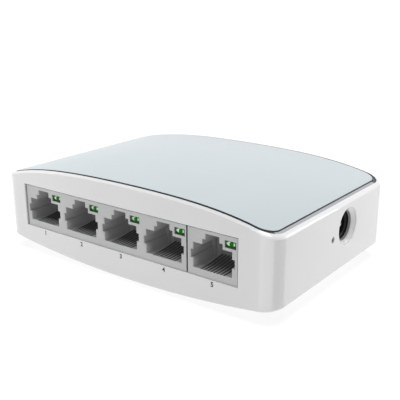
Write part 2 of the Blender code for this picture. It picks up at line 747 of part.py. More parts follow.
def make_power_jack():
    back = JACK_FACE_X - JACK_LENGTH
    low = (back, JACK_Y - JACK_HALF_WIDTH, PART_BASE)
    high = (JACK_FACE_X - MM, JACK_Y + JACK_HALF_WIDTH, JACK_TOP)
    body = part_from(box(low, high), "power_jack_body", "black_plastic")
    flange = cylinder((JACK_FACE_X - JACK_FLANGE_THICKNESS, JACK_Y, JACK_Z), (1, 0, 0),
                      JACK_FLANGE_THICKNESS, JACK_FLANGE_RADIUS)
    boolean(body, flange, "flange", "UNION")
    bore = cylinder((JACK_FACE_X - JACK_BORE_DEPTH, JACK_Y, JACK_Z), (1, 0, 0),
                    JACK_BORE_DEPTH + MM, JACK_BORE_RADIUS)
    boolean(body, bore, "bore")
    pin_seat = cylinder((back + PIN_SEAT_START, JACK_Y, JACK_Z), (1, 0, 0), PIN_SEAT_LENGTH,
                        JACK_PIN_RADIUS + GAP, SMALL_ROUND_SEGMENTS)
    boolean(body, pin_seat, "pin_seat")
    leaf_slot = box(
        (JACK_FACE_X - LEAF_REAR - 0.4 * MM, JACK_Y - LEAF_WIDTH / 2 - GAP, JACK_Z - 5.0 * MM),
        (JACK_FACE_X - 1.2 * MM, JACK_Y + LEAF_WIDTH / 2 + GAP, JACK_Z - 2.0 * MM),
    )
    boolean(body, leaf_slot, "leaf_slot")


def make_power_pin():
    start = JACK_FACE_X - JACK_LENGTH + PIN_SEAT_START + GAP
    length = JACK_FACE_X - PIN_SET_BACK - start
    solid = cylinder((start, JACK_Y, JACK_Z), (1, 0, 0), length, JACK_PIN_RADIUS,
                     SMALL_ROUND_SEGMENTS)
    bevel(part_from(solid, "power_jack_pin", "nickel"), PIN_BEVEL, 3)


def make_power_leaf():
    """The bent spring strip that presses on the plug's sleeve, drawn in X and Z."""
    rear = JACK_FACE_X - LEAF_REAR
    under_bore = JACK_Z - JACK_BORE_RADIUS
    line = [
        (rear, under_bore - 0.7 * MM),
        (rear + 5.4 * MM, under_bore + 0.35 * MM),
        (rear + 7.2 * MM, under_bore - 0.6 * MM),
    ]
    outline = line + [(x, z - LEAF_THICKNESS) for x, z in reversed(line)]
    solid = add_prism(bmesh.new(), outline, along_y, JACK_Y - LEAF_WIDTH / 2,
                      JACK_Y + LEAF_WIDTH / 2)
    part_from(solid, "power_jack_spring_leaf", "nickel")


def make_power_light_pipe():
    """A clear pipe: up from the lamp chip, then along X to the pinhole."""
    foot = PART_BASE + 1.2 * MM
    low = (PIPE_X - PIPE_RADIUS, PINHOLE_Y - PIPE_RADIUS, foot)
    high = (PIPE_X + PIPE_RADIUS, PINHOLE_Y + PIPE_RADIUS, PINHOLE_Z + PIPE_RADIUS)
    pipe = part_from(box(low, high), "power_light_pipe", "clear_plastic")
    wall_inside = BODY_WIDTH / 2 - WALL
    arm = cylinder((PIPE_X, PINHOLE_Y, PINHOLE_Z), (1, 0, 0), wall_inside - GAP - PIPE_X,
                   PIPE_RADIUS * 0.95, SMALL_ROUND_SEGMENTS)
    boolean(pipe, arm, "arm", "UNION")
    nose = cylinder((wall_inside - MM, PINHOLE_Y, PINHOLE_Z), (1, 0, 0), WALL + 0.6 * MM,
                    PIPE_NOSE_RADIUS, SMALL_ROUND_SEGMENTS)
    boolean(pipe, nose, "nose", "UNION")


# ---------------------------------------------------------------- assembly


def main():
    clear_scene()
    make_upper_shell()
    make_top_plate()
    make_bottom_cover()
    make_label()
    make_feet()
    make_case_screws()
    make_circuit_board()
    make_board_screws()
    make_board_parts()
    make_sockets()
    make_power_jack()
    make_power_pin()
    make_power_leaf()
    make_power_light_pipe()


main()
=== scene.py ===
"""Looks of the desktop network switch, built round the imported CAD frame.

Metres, +Z up. The sockets face -Y with port 1 on the -X side, and the power jack is in
the +X wall. Places come from the CAD nodes' boxes, and the casing's arches repeat the
CAD model's own.
"""

import math

import bmesh
import bpy
from mathutils import Matrix, Vector


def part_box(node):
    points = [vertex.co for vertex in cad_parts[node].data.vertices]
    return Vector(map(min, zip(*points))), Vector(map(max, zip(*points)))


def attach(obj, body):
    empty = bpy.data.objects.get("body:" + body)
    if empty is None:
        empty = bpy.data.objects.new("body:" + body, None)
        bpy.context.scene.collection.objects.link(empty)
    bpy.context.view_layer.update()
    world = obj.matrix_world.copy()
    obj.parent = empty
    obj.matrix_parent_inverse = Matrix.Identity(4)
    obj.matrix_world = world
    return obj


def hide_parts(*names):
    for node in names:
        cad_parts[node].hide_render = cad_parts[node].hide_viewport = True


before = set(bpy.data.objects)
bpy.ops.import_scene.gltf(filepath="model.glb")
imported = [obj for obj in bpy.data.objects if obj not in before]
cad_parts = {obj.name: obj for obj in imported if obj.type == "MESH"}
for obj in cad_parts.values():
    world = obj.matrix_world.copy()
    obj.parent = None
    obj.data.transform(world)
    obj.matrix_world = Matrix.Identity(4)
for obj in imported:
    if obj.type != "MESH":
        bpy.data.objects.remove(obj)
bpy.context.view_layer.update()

MM = 0.001
BODY = "casing"
PORTS = range(1, 6)
SIDES = ("left", "right")
CORNERS = [f"{end}_{side}" for end in ("front", "back") for side in SIDES]
UP = (0, 0, 1)
JACK_AXIS = (1, 0, 0)

# -------- sizes

SHELL_LOW, SHELL_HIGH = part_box("upper_shell")
PLATE_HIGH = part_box("top_plate")[1]
HOUSING_LOW, HOUSING_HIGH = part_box("socket_housing_1_4")
JACK_LOW, JACK_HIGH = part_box("power_jack_body")
BOARD_LOW, BOARD_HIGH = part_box("circuit_board")

HALF_WIDTH = SHELL_HIGH.x
HALF_DEPTH = SHELL_HIGH.y
FACE_Y = HOUSING_LOW.y
PORT_XS = {n: sum(corner.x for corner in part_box(f"port_{n}_comb_block")) / 2 for n in PORTS}

# Gap between parts that touch on the real object, and how far cutters reach past a face.
SEAT_GAP = 0.3 * MM
OVERCUT = 1.0 * MM

# Casing arches and edges, as in the CAD model. The skin keeps the shell inside the CAD box.
RIDGE_HEIGHT = SHELL_HIGH.z
TOP_DROP = 5.1 * MM
TOP_SQUARE_SHARE = 0.40
BELLY_HEIGHT = SHELL_LOW.z
BELLY_RISE = 3.6 * MM
BELLY_SQUARE_SHARE = 0.89
CORNER_RADIUS = 4.7 * MM
WALL = 2.0 * MM
ROOF = 2.8 * MM
SHOULDER_RADIUS = 1.4 * MM
SHOULDER_TURN = math.radians(60)
BELLY_ROUND = 0.6 * MM
RIM_CHAMFER_WIDTH = 0.2 * MM
RIM_CHAMFER_HEIGHT = 0.25 * MM
SKIN = 0.02 * MM

# Posts inside the shell for the case screws, with their pilot holes.
POST_RADIUS = 2.6 * MM
POST_SPAN = (8.3 * MM, 23.2 * MM)
PILOT_RADIUS = 1.45 * MM
PILOT_SPAN = (7 * MM, 15 * MM)

# Top plate and the groove round it.
PLATE_SIDE_INSET = HALF_WIDTH - PLATE_HIGH.x
PLATE_END_INSET = HALF_DEPTH - PLATE_HIGH.y
PLATE_RADIUS = 4.0 * MM
PLATE_PROUD = PLATE_HIGH.z - RIDGE_HEIGHT
PLATE_SEAT = 0.9 * MM
PLATE_ROUND = 0.1 * MM
# How far up the plate's sides the painted shade of the gap reaches.
PLATE_PAINTED_SHADE_RIM = 0.02 * MM
GROOVE_SIDE_WIDTH = 1.25 * MM
GROOVE_END_WIDTH = 0.8 * MM
GROOVE_DEPTH = 0.27 * MM
GROOVE_BREAK = 0.06 * MM
GROOVE_GAP = 0.12 * MM

# Window in the front wall and the socket mouths.
WINDOW_GAP = 0.3 * MM
WINDOW_BOTTOM = 8.45 * MM
WINDOW_TOP = HOUSING_HIGH.z + WINDOW_GAP
WINDOW_BREAK = 0.12 * MM
HOUSING_ROUND = 0.12 * MM
EDGE_BREAK = 0.16 * MM
SOCKET_FLOOR = 10.55 * MM
SOCKET_DEPTH = 9.3 * MM
SOCKET_STEPS = [
    # half width, height of its upper edge
    (6.02 * MM, 13.1 * MM),
    (6.82 * MM, 15.4 * MM),
    (6.02 * MM, 17.4 * MM),
    (3.12 * MM, 18.85 * MM),
    (2.12 * MM, 20.45 * MM),
]
REAR_HALF_WIDTH = 5.7 * MM
REAR_BOTTOM = 9.5 * MM
REAR_TOP = 17.1 * MM
REAR_OVERLAP = 0.2 * MM
SEAM_TRIM = 0.06 * MM

# Contact wires, the slots they lie in and the comb behind them.
WIRE_COUNT = 8
WIRE_PITCH = 1.016 * MM
WIRE_RADIUS = 0.26 * MM
WIRE_SLOPE = math.radians(7.5)
WIRE_PIVOT_Y = FACE_Y + 0.85 * MM
WIRE_PIVOT_Z = 10.17 * MM
WIRE_PATH = [
    # along the wire and across it, in millimetres from the pivot: front bend, straight, tip
    (0.95, -0.35), (0.35, -0.37), (0.02, -0.31), (-0.10, -0.14), (0.05, 0.0),
    (0.6, 0.0), (2.0, 0.0), (4.0, 0.0), (6.0, 0.0), (8.0, 0.0), (8.9, 0.0),
    (9.25, -0.12),
]
SLOT_WIDTH = 0.64 * MM
SLOT_LIP = 0.12 * MM
SLOT_RISE = 0.4 * MM
COMB_ROUND = 0.15 * MM
COMB_BREAK = 0.06 * MM
COMB_SLOT_HALF_WIDTH = 0.33 * MM
COMB_SLOT_TOP = 11.8 * MM
COMB_SLOT_DEPTH = 1.4 * MM
COMB_GROOVE_HALF_WIDTH = 0.27 * MM
COMB_GROOVE_TOP = 13.9 * MM
COMB_GROOVE_DEPTH = 0.5 * MM

# Pegs that hold the housings in the board.
PEG_RADIUS = 1.5 * MM
PEG_TIP_RADIUS = 1.1 * MM
PEG_TIP = 0.4 * MM
PEG_SIDE = 5.7 * MM
PEG_BACK = 8.0 * MM
PEG_ROOT = 0.8 * MM

# Status lamps.
LAMP_LEFT = 3.85 * MM
LAMP_RIGHT = 7.25 * MM
LAMP_BOTTOM = 18.25 * MM
LAMP_TOP = 20.15 * MM
LAMP_BREAK = 0.08 * MM
LAMP_WELL_DEPTH = 6.9 * MM
LAMP_DEPTH = 0.95 * MM
LAMP_GROW = 0.27 * MM
LAMP_ROUND = 0.1 * MM
LENS_HALF_SIZE = (1.30 * MM, 0.30 * MM, 0.58 * MM)
LENS_DROP = 0.12 * MM
LENS_SHIFT = -0.45 * MM
CORE_HALF_WIDTH = 0.60 * MM
CORE_HALF_HEIGHT = 0.66 * MM
CORE_SHIFT = 0.33 * MM
CORE_PROFILE = [
    # distance in front of the lens's middle, share of the half width and height
    (0, 1.0), (0.30 * MM, 1.0), (0.36 * MM, 0.85), (0.38 * MM, 0.5),
]

# Printed digits under the sockets.
DIGIT_HEIGHT = 1.3 * MM
DIGIT_SHARE_OF_SIZE = 0.7
DIGIT_BASE = 6.8 * MM
DIGIT_SHIFT = 0.38 * MM
DIGIT_WEIGHT = 0.045 * MM

# Power jack with the funnel in the wall before it, and the pinhole.
JACK_Y = (JACK_LOW.y + JACK_HIGH.y) / 2
JACK_Z = 16.0 * MM
JACK_CENTRE = (0, JACK_Y, JACK_Z)
MOUTH_RADIUS = 5.5 * MM
MOUTH_LIP = 0.4 * MM
THROAT_RADIUS = 4.05 * MM
THROAT_DEPTH = 1.3 * MM
THROAT_START_RADIUS = 4.36 * MM
THROAT_STRAIGHT = 0.15 * MM
BLOCK_SETBACK = 1.0 * MM
BLOCK_TRIM = 0.2 * MM
FLANGE_RADIUS = 4.7 * MM
FLANGE_DEPTH = 2.0 * MM
FLANGE_ROUND = 0.1 * MM
BORE_RADIUS = 3.15 * MM
BORE_DEPTH = 10.0 * MM
BORE_FLARE = 0.35 * MM
PIN_RADIUS = 1.0 * MM
PIN_FOOT_BREAK = 0.1 * MM
PIN_ROUND = 0.55 * MM
PIN_SEAT_RADIUS = 1.3 * MM
PIN_SEAT_SPAN = (JACK_LOW.x + 1.3 * MM, JACK_LOW.x + 5.3 * MM)
LEAF_SLOT_HALF_WIDTH = 1.3 * MM
LEAF_SLOT_DEPTHS = (9.4 * MM, 1.2 * MM)  # behind the jack's face
LEAF_SLOT_DROPS = (5.0 * MM, 2.0 * MM)  # below the jack's axis
PINHOLE_Y = -1.9 * MM
PINHOLE_Z = 14.5 * MM
PINHOLE_RADIUS = 0.85 * MM
PINHOLE_BREAK = 0.12 * MM

# Bottom cover: a plate with screw bosses, seats for the feet, risers for the board and a label bed.
COVER_LIFT = 0.2 * MM
COVER_THICKNESS = 2.0 * MM
COVER_CHAMFER = 0.2 * MM
BOSS_RADIUS = 3.2 * MM
BOSS_TOP = 8.0 * MM
BOSS_ROOT = 1.0 * MM
SINK_RIM_RADIUS = 2.75 * MM
SINK_RIM_HEIGHT = 0.25 * MM
SINK_RADIUS = 2.5 * MM
SINK_TOP = 6.0 * MM
SCREW_HOLE_RADIUS = 1.5 * MM
SCREW_HOLE_TOP = 9.0 * MM
FOOT_SEAT_RADIUS = 4.5 * MM
FOOT_SEAT_TOP = 3.1 * MM
RISER_RADIUS = 2.6 * MM
RISER_FLOOR = 0.2 * MM
LABEL_BED_RADIUS = 2 * MM
LABEL_BED_DEPTH = 0.45 * MM

# Label, feet and screws.
LABEL_RADIUS = 1.7 * MM
LABEL_LIFT = 0.3 * MM
LABEL_THICKNESS = 0.15 * MM
RULE_YS = [y * MM for y in (-9.6, -3.2, 3.2, 9.6)]
RULE_MARGIN = 1.2 * MM
RULE_WIDTH = 0.18 * MM
RULE_THICKNESS = 0.01 * MM
FOOT_DIMPLE = [(0.22 * MM, 0.4 * MM), (0.2 * MM, 2.0 * MM), (0.0, 2.3 * MM)]  # height, radius
FOOT_ROUND = 0.5 * MM
FOOT_TOP_BREAK = 0.1 * MM
FOOT_SOLE_INSET = 0.15 * MM
THREAD_PITCH = 0.5 * MM
THREAD_RADIUS = 1.2 * MM
SCREW_NECK_RADIUS = 1.15 * MM
SCREW_HEAD = 1.3 * MM
CROSS_HALF_SIZES = (1.15 * MM, 0.28 * MM)
CROSS_DEPTH = 0.75 * MM

# Stage: the cards' angles run from -Y towards +X.
STAGE_HALF_SIZE = 2.5
CARD_RADIUS = 12 * MM
CARD_HEIGHT = 45 * MM
LIGHT_CARD_ARC = (math.radians(-17), math.radians(52))
DARK_CARD_ARC = (math.radians(52), math.radians(124))

# Camera: the eye is where the sockets' outlines put it, with a lens for a 36 mm frame.
EYE = (0.12617, -0.16300, 0.08202)
AZIMUTH = math.radians(37.055)
ELEVATION = math.radians(17.768)
ROLL = math.radians(-0.156)
LENS = 62.96

ARCH_SEGMENTS = 56
CORNER_SEGMENTS = 12
EDGE_SEGMENTS = 7
RIM_SEGMENTS = 4
ROUND_SEGMENTS = 64
SCREW_SEGMENTS = 40
BOSS_SEGMENTS = 32
PEG_SEGMENTS = 24
SMOOTH_ANGLE = math.radians(28)

# -------- materials


def principled(name, colour, roughness, metallic=0.0, **sockets):
    """A new material with its shader's plain values set."""
    made = bpy.data.materials.new(name)
    made.use_nodes = True
    shader = made.node_tree.nodes["Principled BSDF"]
    set_sockets(shader, Base_Color=(*colour, 1.0), Roughness=roughness, Metallic=metallic, **sockets)
    return made, shader


def set_sockets(node, **sockets):
    """Set a node's plain values, named with underscores for spaces."""
    for socket, value in sockets.items():
        node.inputs[socket.replace("_", " ")].default_value = value


def add_node(tree, kind, **sockets):
    node = tree.nodes.new(f"ShaderNode{kind}")
    set_sockets(node, **sockets)
    return node


def object_space(tree):
    """The object's own coordinates, from one node per material."""
    coordinates = tree.nodes.get("coordinates") or tree.nodes.new("ShaderNodeTexCoord")
    coordinates.name = "coordinates"
    return coordinates.outputs["Object"]


def noise(tree, scale, detail):
    """Noise in the object's own space, with scale in features per metre."""
    texture = add_node(tree, "TexNoise", Scale=scale, Detail=detail)
    tree.links.new(object_space(tree), texture.inputs["Vector"])
    return texture.outputs["Fac"]


def ramp(tree, factor, low, high, low_at=0.3, high_at=0.7):
    """A colour between low and high as factor goes from low_at to high_at."""
    node = add_node(tree, "ValToRGB")
    for stop, place, colour in zip(node.color_ramp.elements, (low_at, high_at), (low, high)):
        stop.position = place
        stop.color = (*colour, 1.0)
    tree.links.new(factor, node.inputs["Fac"])
    return node.outputs["Color"]


def shade(colour, amount):
    return tuple(min(1.0, channel * amount) for channel in colour)


def uneven_gloss(tree, shader, scale, low, high):
    """Roughness that wanders between low and high."""
    gloss = add_node(tree, "MapRange", To_Min=low, To_Max=high)
    tree.links.new(noise(tree, scale, 2.0), gloss.inputs["Value"])
    tree.links.new(gloss.outputs["Result"], shader.inputs["Roughness"])


def bump(tree, shader, height, depth, strength=1.0):
    node = add_node(tree, "Bump", Strength=strength, Distance=depth)
    tree.links.new(height, node.inputs["Height"])
    tree.links.new(node.outputs["Normal"], shader.inputs["Normal"])


def moulded(name, colour, roughness, grain=0.12 * MM, depth=0.004 * MM, variation=0.03, **sockets):
    """Moulded plastic: a fine even grain, and faint clouds of tone and gloss."""
    made, shader = principled(name, colour, roughness, **sockets)
    tree = made.node_tree
    clouds = noise(tree, 60, 4.0)
    tone = ramp(tree, clouds, shade(colour, 1 - variation), shade(colour, 1 + variation))
    tree.links.new(tone, shader.inputs["Base Color"])
    uneven_gloss(tree, shader, 400, roughness * 0.88, min(1.0, roughness * 1.14))
    bump(tree, shader, noise(tree, 1 / grain, 2.0), depth)
    return made


def white_glow(strength):
    """Shader values for an even glow: a lit stage, or painted fill light that brightens shaded insides.
    """
    return {"Emission_Color": (1.0, 1.0, 1.0, 1.0), "Emission_Strength": strength}


def plated(name, colour, roughness, **sockets):
    """Plated or bare metal with a drawn grain and uneven polish."""
    made, shader = principled(name, colour, roughness, 1.0, **sockets)
    tree = made.node_tree
    tone = ramp(tree, noise(tree, 900, 3.0), shade(colour, 0.86), colour)
    tree.links.new(tone, shader.inputs["Base Color"])
    uneven_gloss(tree, shader, 2500, roughness * 0.7, roughness * 1.4)
    scratch = 0.05 * MM
    bump(tree, shader, noise(tree, 1 / scratch, 2.0), 0.002 * MM)
    return made


def resin(name, colour, roughness, transmission, glow=0.0, **sockets):
    """Clear tinted resin, cloudy inside, that can give off light."""
    made, shader = principled(name, colour, roughness, IOR=1.5, Transmission_Weight=transmission,
                              Emission_Strength=glow, **sockets)
    tree = made.node_tree
    tone = ramp(tree, noise(tree, 1500, 2.0), shade(colour, 0.85), shade(colour, 1.1))
    tree.links.new(tone, shader.inputs["Base Color"])
    bump(tree, shader, noise(tree, 3000, 1.0), 0.004 * MM)
    if glow:
        tree.links.new(tone, shader.inputs["Emission Color"])
    return made


def solder_resist():
    """Green solder resist with a pattern of copper tracks showing through."""
    green = (0.012, 0.105, 0.035)
    track = (0.03, 0.20, 0.07)
    made, shader = principled("solder_resist", green, 0.35, Coat_Weight=0.3)
    tree = made.node_tree
    waves = add_node(tree, "TexWave", Scale=260, Distortion=9.0, Detail=0.0, Detail_Scale=0.12)
    waves.wave_profile = "SIN"
    tree.links.new(object_space(tree), waves.inputs["Vector"])
    tone = ramp(tree, waves.outputs["Fac"], green, track, 0.55, 0.62)
    tree.links.new(tone, shader.inputs["Base Color"])
    bump(tree, shader, waves.outputs["Fac"], 0.01 * MM, 0.3)
    return made


def stage_white(name, grey, roughness, specular, glow):
    """An evenly glowing material for the floor, the backdrop and the cards."""
    return moulded(name, (grey, grey, grey), roughness, grain=2 * MM, variation=0.002,
                   Specular_IOR_Level=specular, **white_glow(glow))


WHITE = moulded("white_plastic", (0.755, 0.755, 0.755), 0.38, variation=0.012,
                Coat_Weight=1.0, Coat_Roughness=0.05)
PLATE_TOP = moulded("plate_top", (0.515, 0.57, 0.595), 0.30, depth=0.002 * MM, variation=0.012)
# Painted shade: near black for the plate's sides and the groove's walls, where the gap round the plate
# is in shade.
PLATE_GAP_PAINTED_SHADE = moulded("plate_gap_painted_shade", (0.055, 0.065, 0.07), 0.5)
# Painted shade: grey for the floor of the groove round the plate, where it lies in shade.
GROOVE_PAINTED_SHADE = moulded("groove_grey", (0.39, 0.405, 0.42), 0.6)
SOCKET_FACE = moulded("socket_face", (0.53, 0.54, 0.535), 0.5, depth=0.006 * MM)
# Painted shade and painted light: the sockets' insides are darker than the face for shade, and glow a
# little for fill light.
SOCKET_INSIDE_PAINTED_SHADE_AND_FILL = moulded("socket_inside_painted_shade_and_fill", (0.27, 0.27, 0.27), 0.5, depth=0.006 * MM, **white_glow(0.026))
# Painted shadow: near black for the housings' ends, where the gaps between parts are in shade.
SEAM_PAINTED_SHADOW = moulded("seam_shadow", (0.05, 0.05, 0.055), 0.7)
# Painted shade: dark for the walls of the lamp windows, which lie in shade.
LAMP_WELL_PAINTED_SHADE = moulded("lamp_well_painted_shade", (0.10, 0.11, 0.105), 0.6)
# The comb's own grey, with a slight glow as painted fill light deep in the socket.
COMB_PLASTIC_PAINTED_FILL = moulded("comb_plastic_painted_fill", (0.17, 0.16, 0.17), 0.5, **white_glow(0.042))
BLACK = moulded("black_plastic", (0.012, 0.012, 0.013), 0.32, variation=0.1)
JACK_BLACK = moulded("jack_face", (0.008, 0.008, 0.009), 0.45, variation=0.1, Specular_IOR_Level=0.2)
# Painted shade: grey for the deep end of the white funnel before the power jack.
THROAT_PAINTED_SHADE = moulded("throat_grey", (0.21, 0.21, 0.21), 0.5)
CHIP = moulded("chip_epoxy", (0.025, 0.025, 0.027), 0.6, grain=0.06 * MM, variation=0.12)
FERRITE = moulded("ferrite", (0.05, 0.048, 0.05), 0.7, grain=0.1 * MM, depth=0.02 * MM)
RUBBER = moulded("rubber", (0.26, 0.27, 0.28), 0.85, grain=0.25 * MM, depth=0.02 * MM, variation=0.06)
SLEEVE = moulded("capacitor_sleeve", (0.02, 0.03, 0.09), 0.3, variation=0.1)
INK = moulded("grey_ink", (0.012, 0.012, 0.014), 0.6, variation=0.08)
LABEL = moulded("label_film", (0.80, 0.80, 0.79), 0.45, grain=0.2 * MM, variation=0.02)
# Dark wire metal with a slight glow as painted fill light inside the socket.
WIRE_METAL_PAINTED_FILL = plated("wire_plate_painted_fill", (0.068, 0.067, 0.065), 0.5, **white_glow(0.010))
NICKEL = plated("nickel", (0.66, 0.65, 0.62), 0.25)
STEEL = plated("zinc_steel", (0.58, 0.59, 0.60), 0.35)
TIN = plated("tin_solder", (0.70, 0.70, 0.70), 0.4)
CAN = plated("aluminium_can", (0.75, 0.75, 0.76), 0.3)
CLEAR = resin("clear_plastic", (0.05, 0.055, 0.055), 0.15, 0.9)
LAMP_BODY = resin("lamp_body", (0.03, 0.10, 0.035), 0.35, 0.2, glow=0.35)
LAMP_LENS = resin("lamp_lens", (0.36, 0.62, 0.36), 0.3, 0.0, glow=0.7)
LAMP_CORE = resin("lamp_core", (0.004, 0.075, 0.002), 0.4, 0.0, glow=0.8, Specular_IOR_Level=0.15)
BOARD = solder_resist()
FLOOR = stage_white("light_table", 0.20, 0.9, 0.2, 0.82)
BACKDROP = stage_white("white_backdrop", 0.0, 1.0, 0.0, 1.05)
DARK_CARD = stage_white("dark_card", 0.0, 1.0, 0.0, 0.45)
LIGHT_CARD = stage_white("light_card", 0.0, 1.0, 0.0, 1.8)

# -------- mesh helpers


def foot_of(node):
    """The point at Z = 0 under the middle of a CAD node."""
    low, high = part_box(node)
    return ((low.x + high.x) / 2, (low.y + high.y) / 2, 0)


def radius_of(node):
    """The radius of an upright round CAD node."""
    low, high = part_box(node)
    return (high.x - low.x) / 2


def new_object(name, data):
    """An object for the data, in the scene."""
    made = bpy.data.objects.new(name, data)
    bpy.context.scene.collection.objects.link(made)
    return made


def object_from(bm, name, *materials):
    """An object from a bmesh, which is used up."""
    mesh = bpy.data.meshes.new(name)
    bm.to_mesh(mesh)
    bm.free()
    for used in materials:
        mesh.materials.append(used)
    return new_object(name, mesh)


def piece_from(bm, name, *materials):
    """A piece of the casing's body, smooth where its faces meet at shallow angles."""
    bmesh.ops.recalc_face_normals(bm, faces=bm.faces)
    piece = object_from(bm, name, *materials)
    smooth(piece)
    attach(piece, BODY)
    return piece


def smooth(piece):
    piece.data.shade_smooth()
    piece.data.set_sharp_from_angle(angle=SMOOTH_ANGLE)


def boolean(piece, bm, operation="DIFFERENCE"):
    """Cut the solid in bm out of a piece, or join it, and keep the result as the mesh."""
    bmesh.ops.recalc_face_normals(bm, faces=bm.faces)
    tool = object_from(bm, "tool")
    modifier = piece.modifiers.new("cut", "BOOLEAN")
    modifier.operation = operation
    modifier.solver = "EXACT"
    modifier.object = tool
    apply_modifiers(piece)
    bpy.data.objects.remove(tool)


def apply_modifiers(piece):
    """Replace a piece's mesh by its evaluated one."""
    graph = bpy.context.evaluated_depsgraph_get()
    result = bpy.data.meshes.new_from_object(piece.evaluated_get(graph))
    piece.modifiers.clear()
    piece.data = result
    smooth(piece)


def soften(piece, width):
    """Round a piece's hard edges."""
    modifier = piece.modifiers.new("soften", "BEVEL")
    modifier.width = width
    modifier.segments = 2
    modifier.limit_method = "ANGLE"
    modifier.angle_limit = math.radians(40)
    modifier.harden_normals = True


def add_box(bm, low, high):
    low = Vector(low)
    high = Vector(high)
    place = Matrix.Translation((low + high) / 2) @ Matrix.Diagonal((*(high - low), 1.0))
    bmesh.ops.create_cube(bm, size=1.0, matrix=place)
    return bm


def stretch(bm, scale, centre):
    """Scale a solid that stands at the origin, and move it to its centre."""
    place = Matrix.Translation(centre) @ Matrix.Diagonal((*scale, 1.0))
    bmesh.ops.transform(bm, matrix=place, verts=bm.verts)


def bridge(bm, lower, upper):
    """Faces between two closed rings of vertices that match one to one."""
    for i in range(len(lower)):
        j = (i + 1) % len(lower)
        bm.faces.new((lower[i], lower[j], upper[j], upper[i]))


def add_sections(bm, sections):
    """A closed solid through outlines of points that match one to one."""
    rings = [[bm.verts.new(point) for point in section] for section in sections]
    for lower, upper in zip(rings, rings[1:]):
        bridge(bm, lower, upper)
    bm.faces.new(rings[0])
    bm.faces.new(rings[-1][::-1])
    return bm


def turned(profile, origin, direction=UP, segments=ROUND_SEGMENTS):
    """A closed solid turned about an axis: profile is (distance along the axis, radius)."""
    turn = Vector(UP).rotation_difference(Vector(direction)).to_matrix()
    angles = spread(0, 2 * math.pi, segments)[:-1]
    sections = []
    for along, radius in profile:
        circle = [Vector((radius * math.cos(a), radius * math.sin(a), along)) for a in angles]
        sections.append([Vector(origin) + turn @ point for point in circle])
    return add_sections(bmesh.new(), sections)


def cylinder(start, end, radius, origin, direction=UP, segments=BOSS_SEGMENTS):
    return turned([(start, radius), (end, radius)], origin, direction, segments)


def rounded_end(along, radius, edge, outward=1):
    """Profile points that round the rim of a turned solid's end at along."""
    points = []
    for angle in quarter(RIM_SEGMENTS):
        points.append((along - outward * edge * (1 - math.sin(angle)),
                       radius - edge * (1 - math.cos(angle))))
    return points if outward > 0 else points[::-1]


def spread(start, end, steps):
    """Numbers at equal steps from start to end."""
    return [start + (end - start) * i / steps for i in range(steps + 1)]


def quarter(steps):
    """Angles from nought to a right angle."""
    return spread(0, math.pi / 2, steps)


def offset_outline(outline, distance):
    """Move a closed outline's edges outwards; it runs anticlockwise with square corners."""
    moved = []
    for i, (u, v) in enumerate(outline):
        before = Vector(outline[i]) - Vector(outline[i - 1])
        after = Vector(outline[(i + 1) % len(outline)]) - Vector(outline[i])
        push = Vector((before.y, -before.x)).normalized() + Vector((after.y, -after.x)).normalized()
        moved.append((u + push.x * distance, v + push.y * distance))
    return moved


def add_mouth(bm, outline, face, inside, edge=EDGE_BREAK):
    """A cutter through the plane Y = face, wider at the face so that the cut's edge is broken."""
    wide = offset_outline(outline, edge)
    levels = ((-OVERCUT, wide), (0, wide), (edge, outline), (inside, outline))
    return add_sections(bm, [[(x, face + level, z) for x, z in shape] for level, shape in levels])


def rectangle(left, right, bottom, top):
    return [(left, bottom), (right, bottom), (right, top), (left, top)]


# -------- arched solids


def arch(x, height_at_wall, square_share):
    """How far an arch has come from its middle towards the wall, at x."""
    t = x / HALF_WIDTH
    return height_at_wall * (square_share * t**2 + (1 - square_share) * t**4)


def top_height(x):
    return RIDGE_HEIGHT - arch(x, TOP_DROP, TOP_SQUARE_SHARE)


def belly_height(x):
    return BELLY_HEIGHT + arch(x, BELLY_RISE, BELLY_SQUARE_SHARE)


def raised(height, lift):
    """The height function that lies lift above another."""
    return lambda x: height(x) + lift


def plan_columns(half_width, half_depth, radius):
    """(x, half depth) from left to right along a rectangle with round corners."""
    straight = half_width - radius
    corner = []
    for angle in quarter(CORNER_SEGMENTS):
        corner.append((straight + radius * math.sin(angle),
                       half_depth - radius * (1 - math.cos(angle))))
    middle = [(x, half_depth) for x in spread(-straight, straight, ARCH_SEGMENTS)[1:-1]]
    return [(-x, y) for x, y in reversed(corner)] + middle + corner


def arched_solid(rings):
    """A closed solid through rings: each is (half width, half depth, radius, height function)."""
    bm = bmesh.new()
    fronts = []
    backs = []
    for half_width, half_depth, radius, height in rings:
        columns = plan_columns(half_width, half_depth, radius)
        fronts.append([bm.verts.new((x, -y, height(x))) for x, y in columns])
        backs.append([bm.verts.new((x, y, height(x))) for x, y in columns])
    loops = [front + back[::-1] for front, back in zip(fronts, backs)]
    for lower, upper in zip(loops, loops[1:]):
        bridge(bm, lower, upper)
    for front, back in ((fronts[0], backs[0]), (fronts[-1], backs[-1])):
        for i in range(len(front) - 1):
            bm.faces.new((front[i], front[i + 1], back[i + 1], back[i]))
    return bm


def casing_ring(inset, height):
    return (HALF_WIDTH - SKIN - inset, HALF_DEPTH - SKIN - inset, CORNER_RADIUS - inset, height)


def plate_ring(inset, height):
    return (HALF_WIDTH - PLATE_SIDE_INSET - inset, HALF_DEPTH - PLATE_END_INSET - inset,
            PLATE_RADIUS - inset, height)


def groove_ring(outward, height):
    """A ring of the groove's outer edge, moved outwards by a little."""
    return (HALF_WIDTH - PLATE_SIDE_INSET + GROOVE_SIDE_WIDTH + outward,
            HALF_DEPTH - PLATE_END_INSET + GROOVE_END_WIDTH + outward,
            PLATE_RADIUS + GROOVE_END_WIDTH + outward, height)


# -------- casing


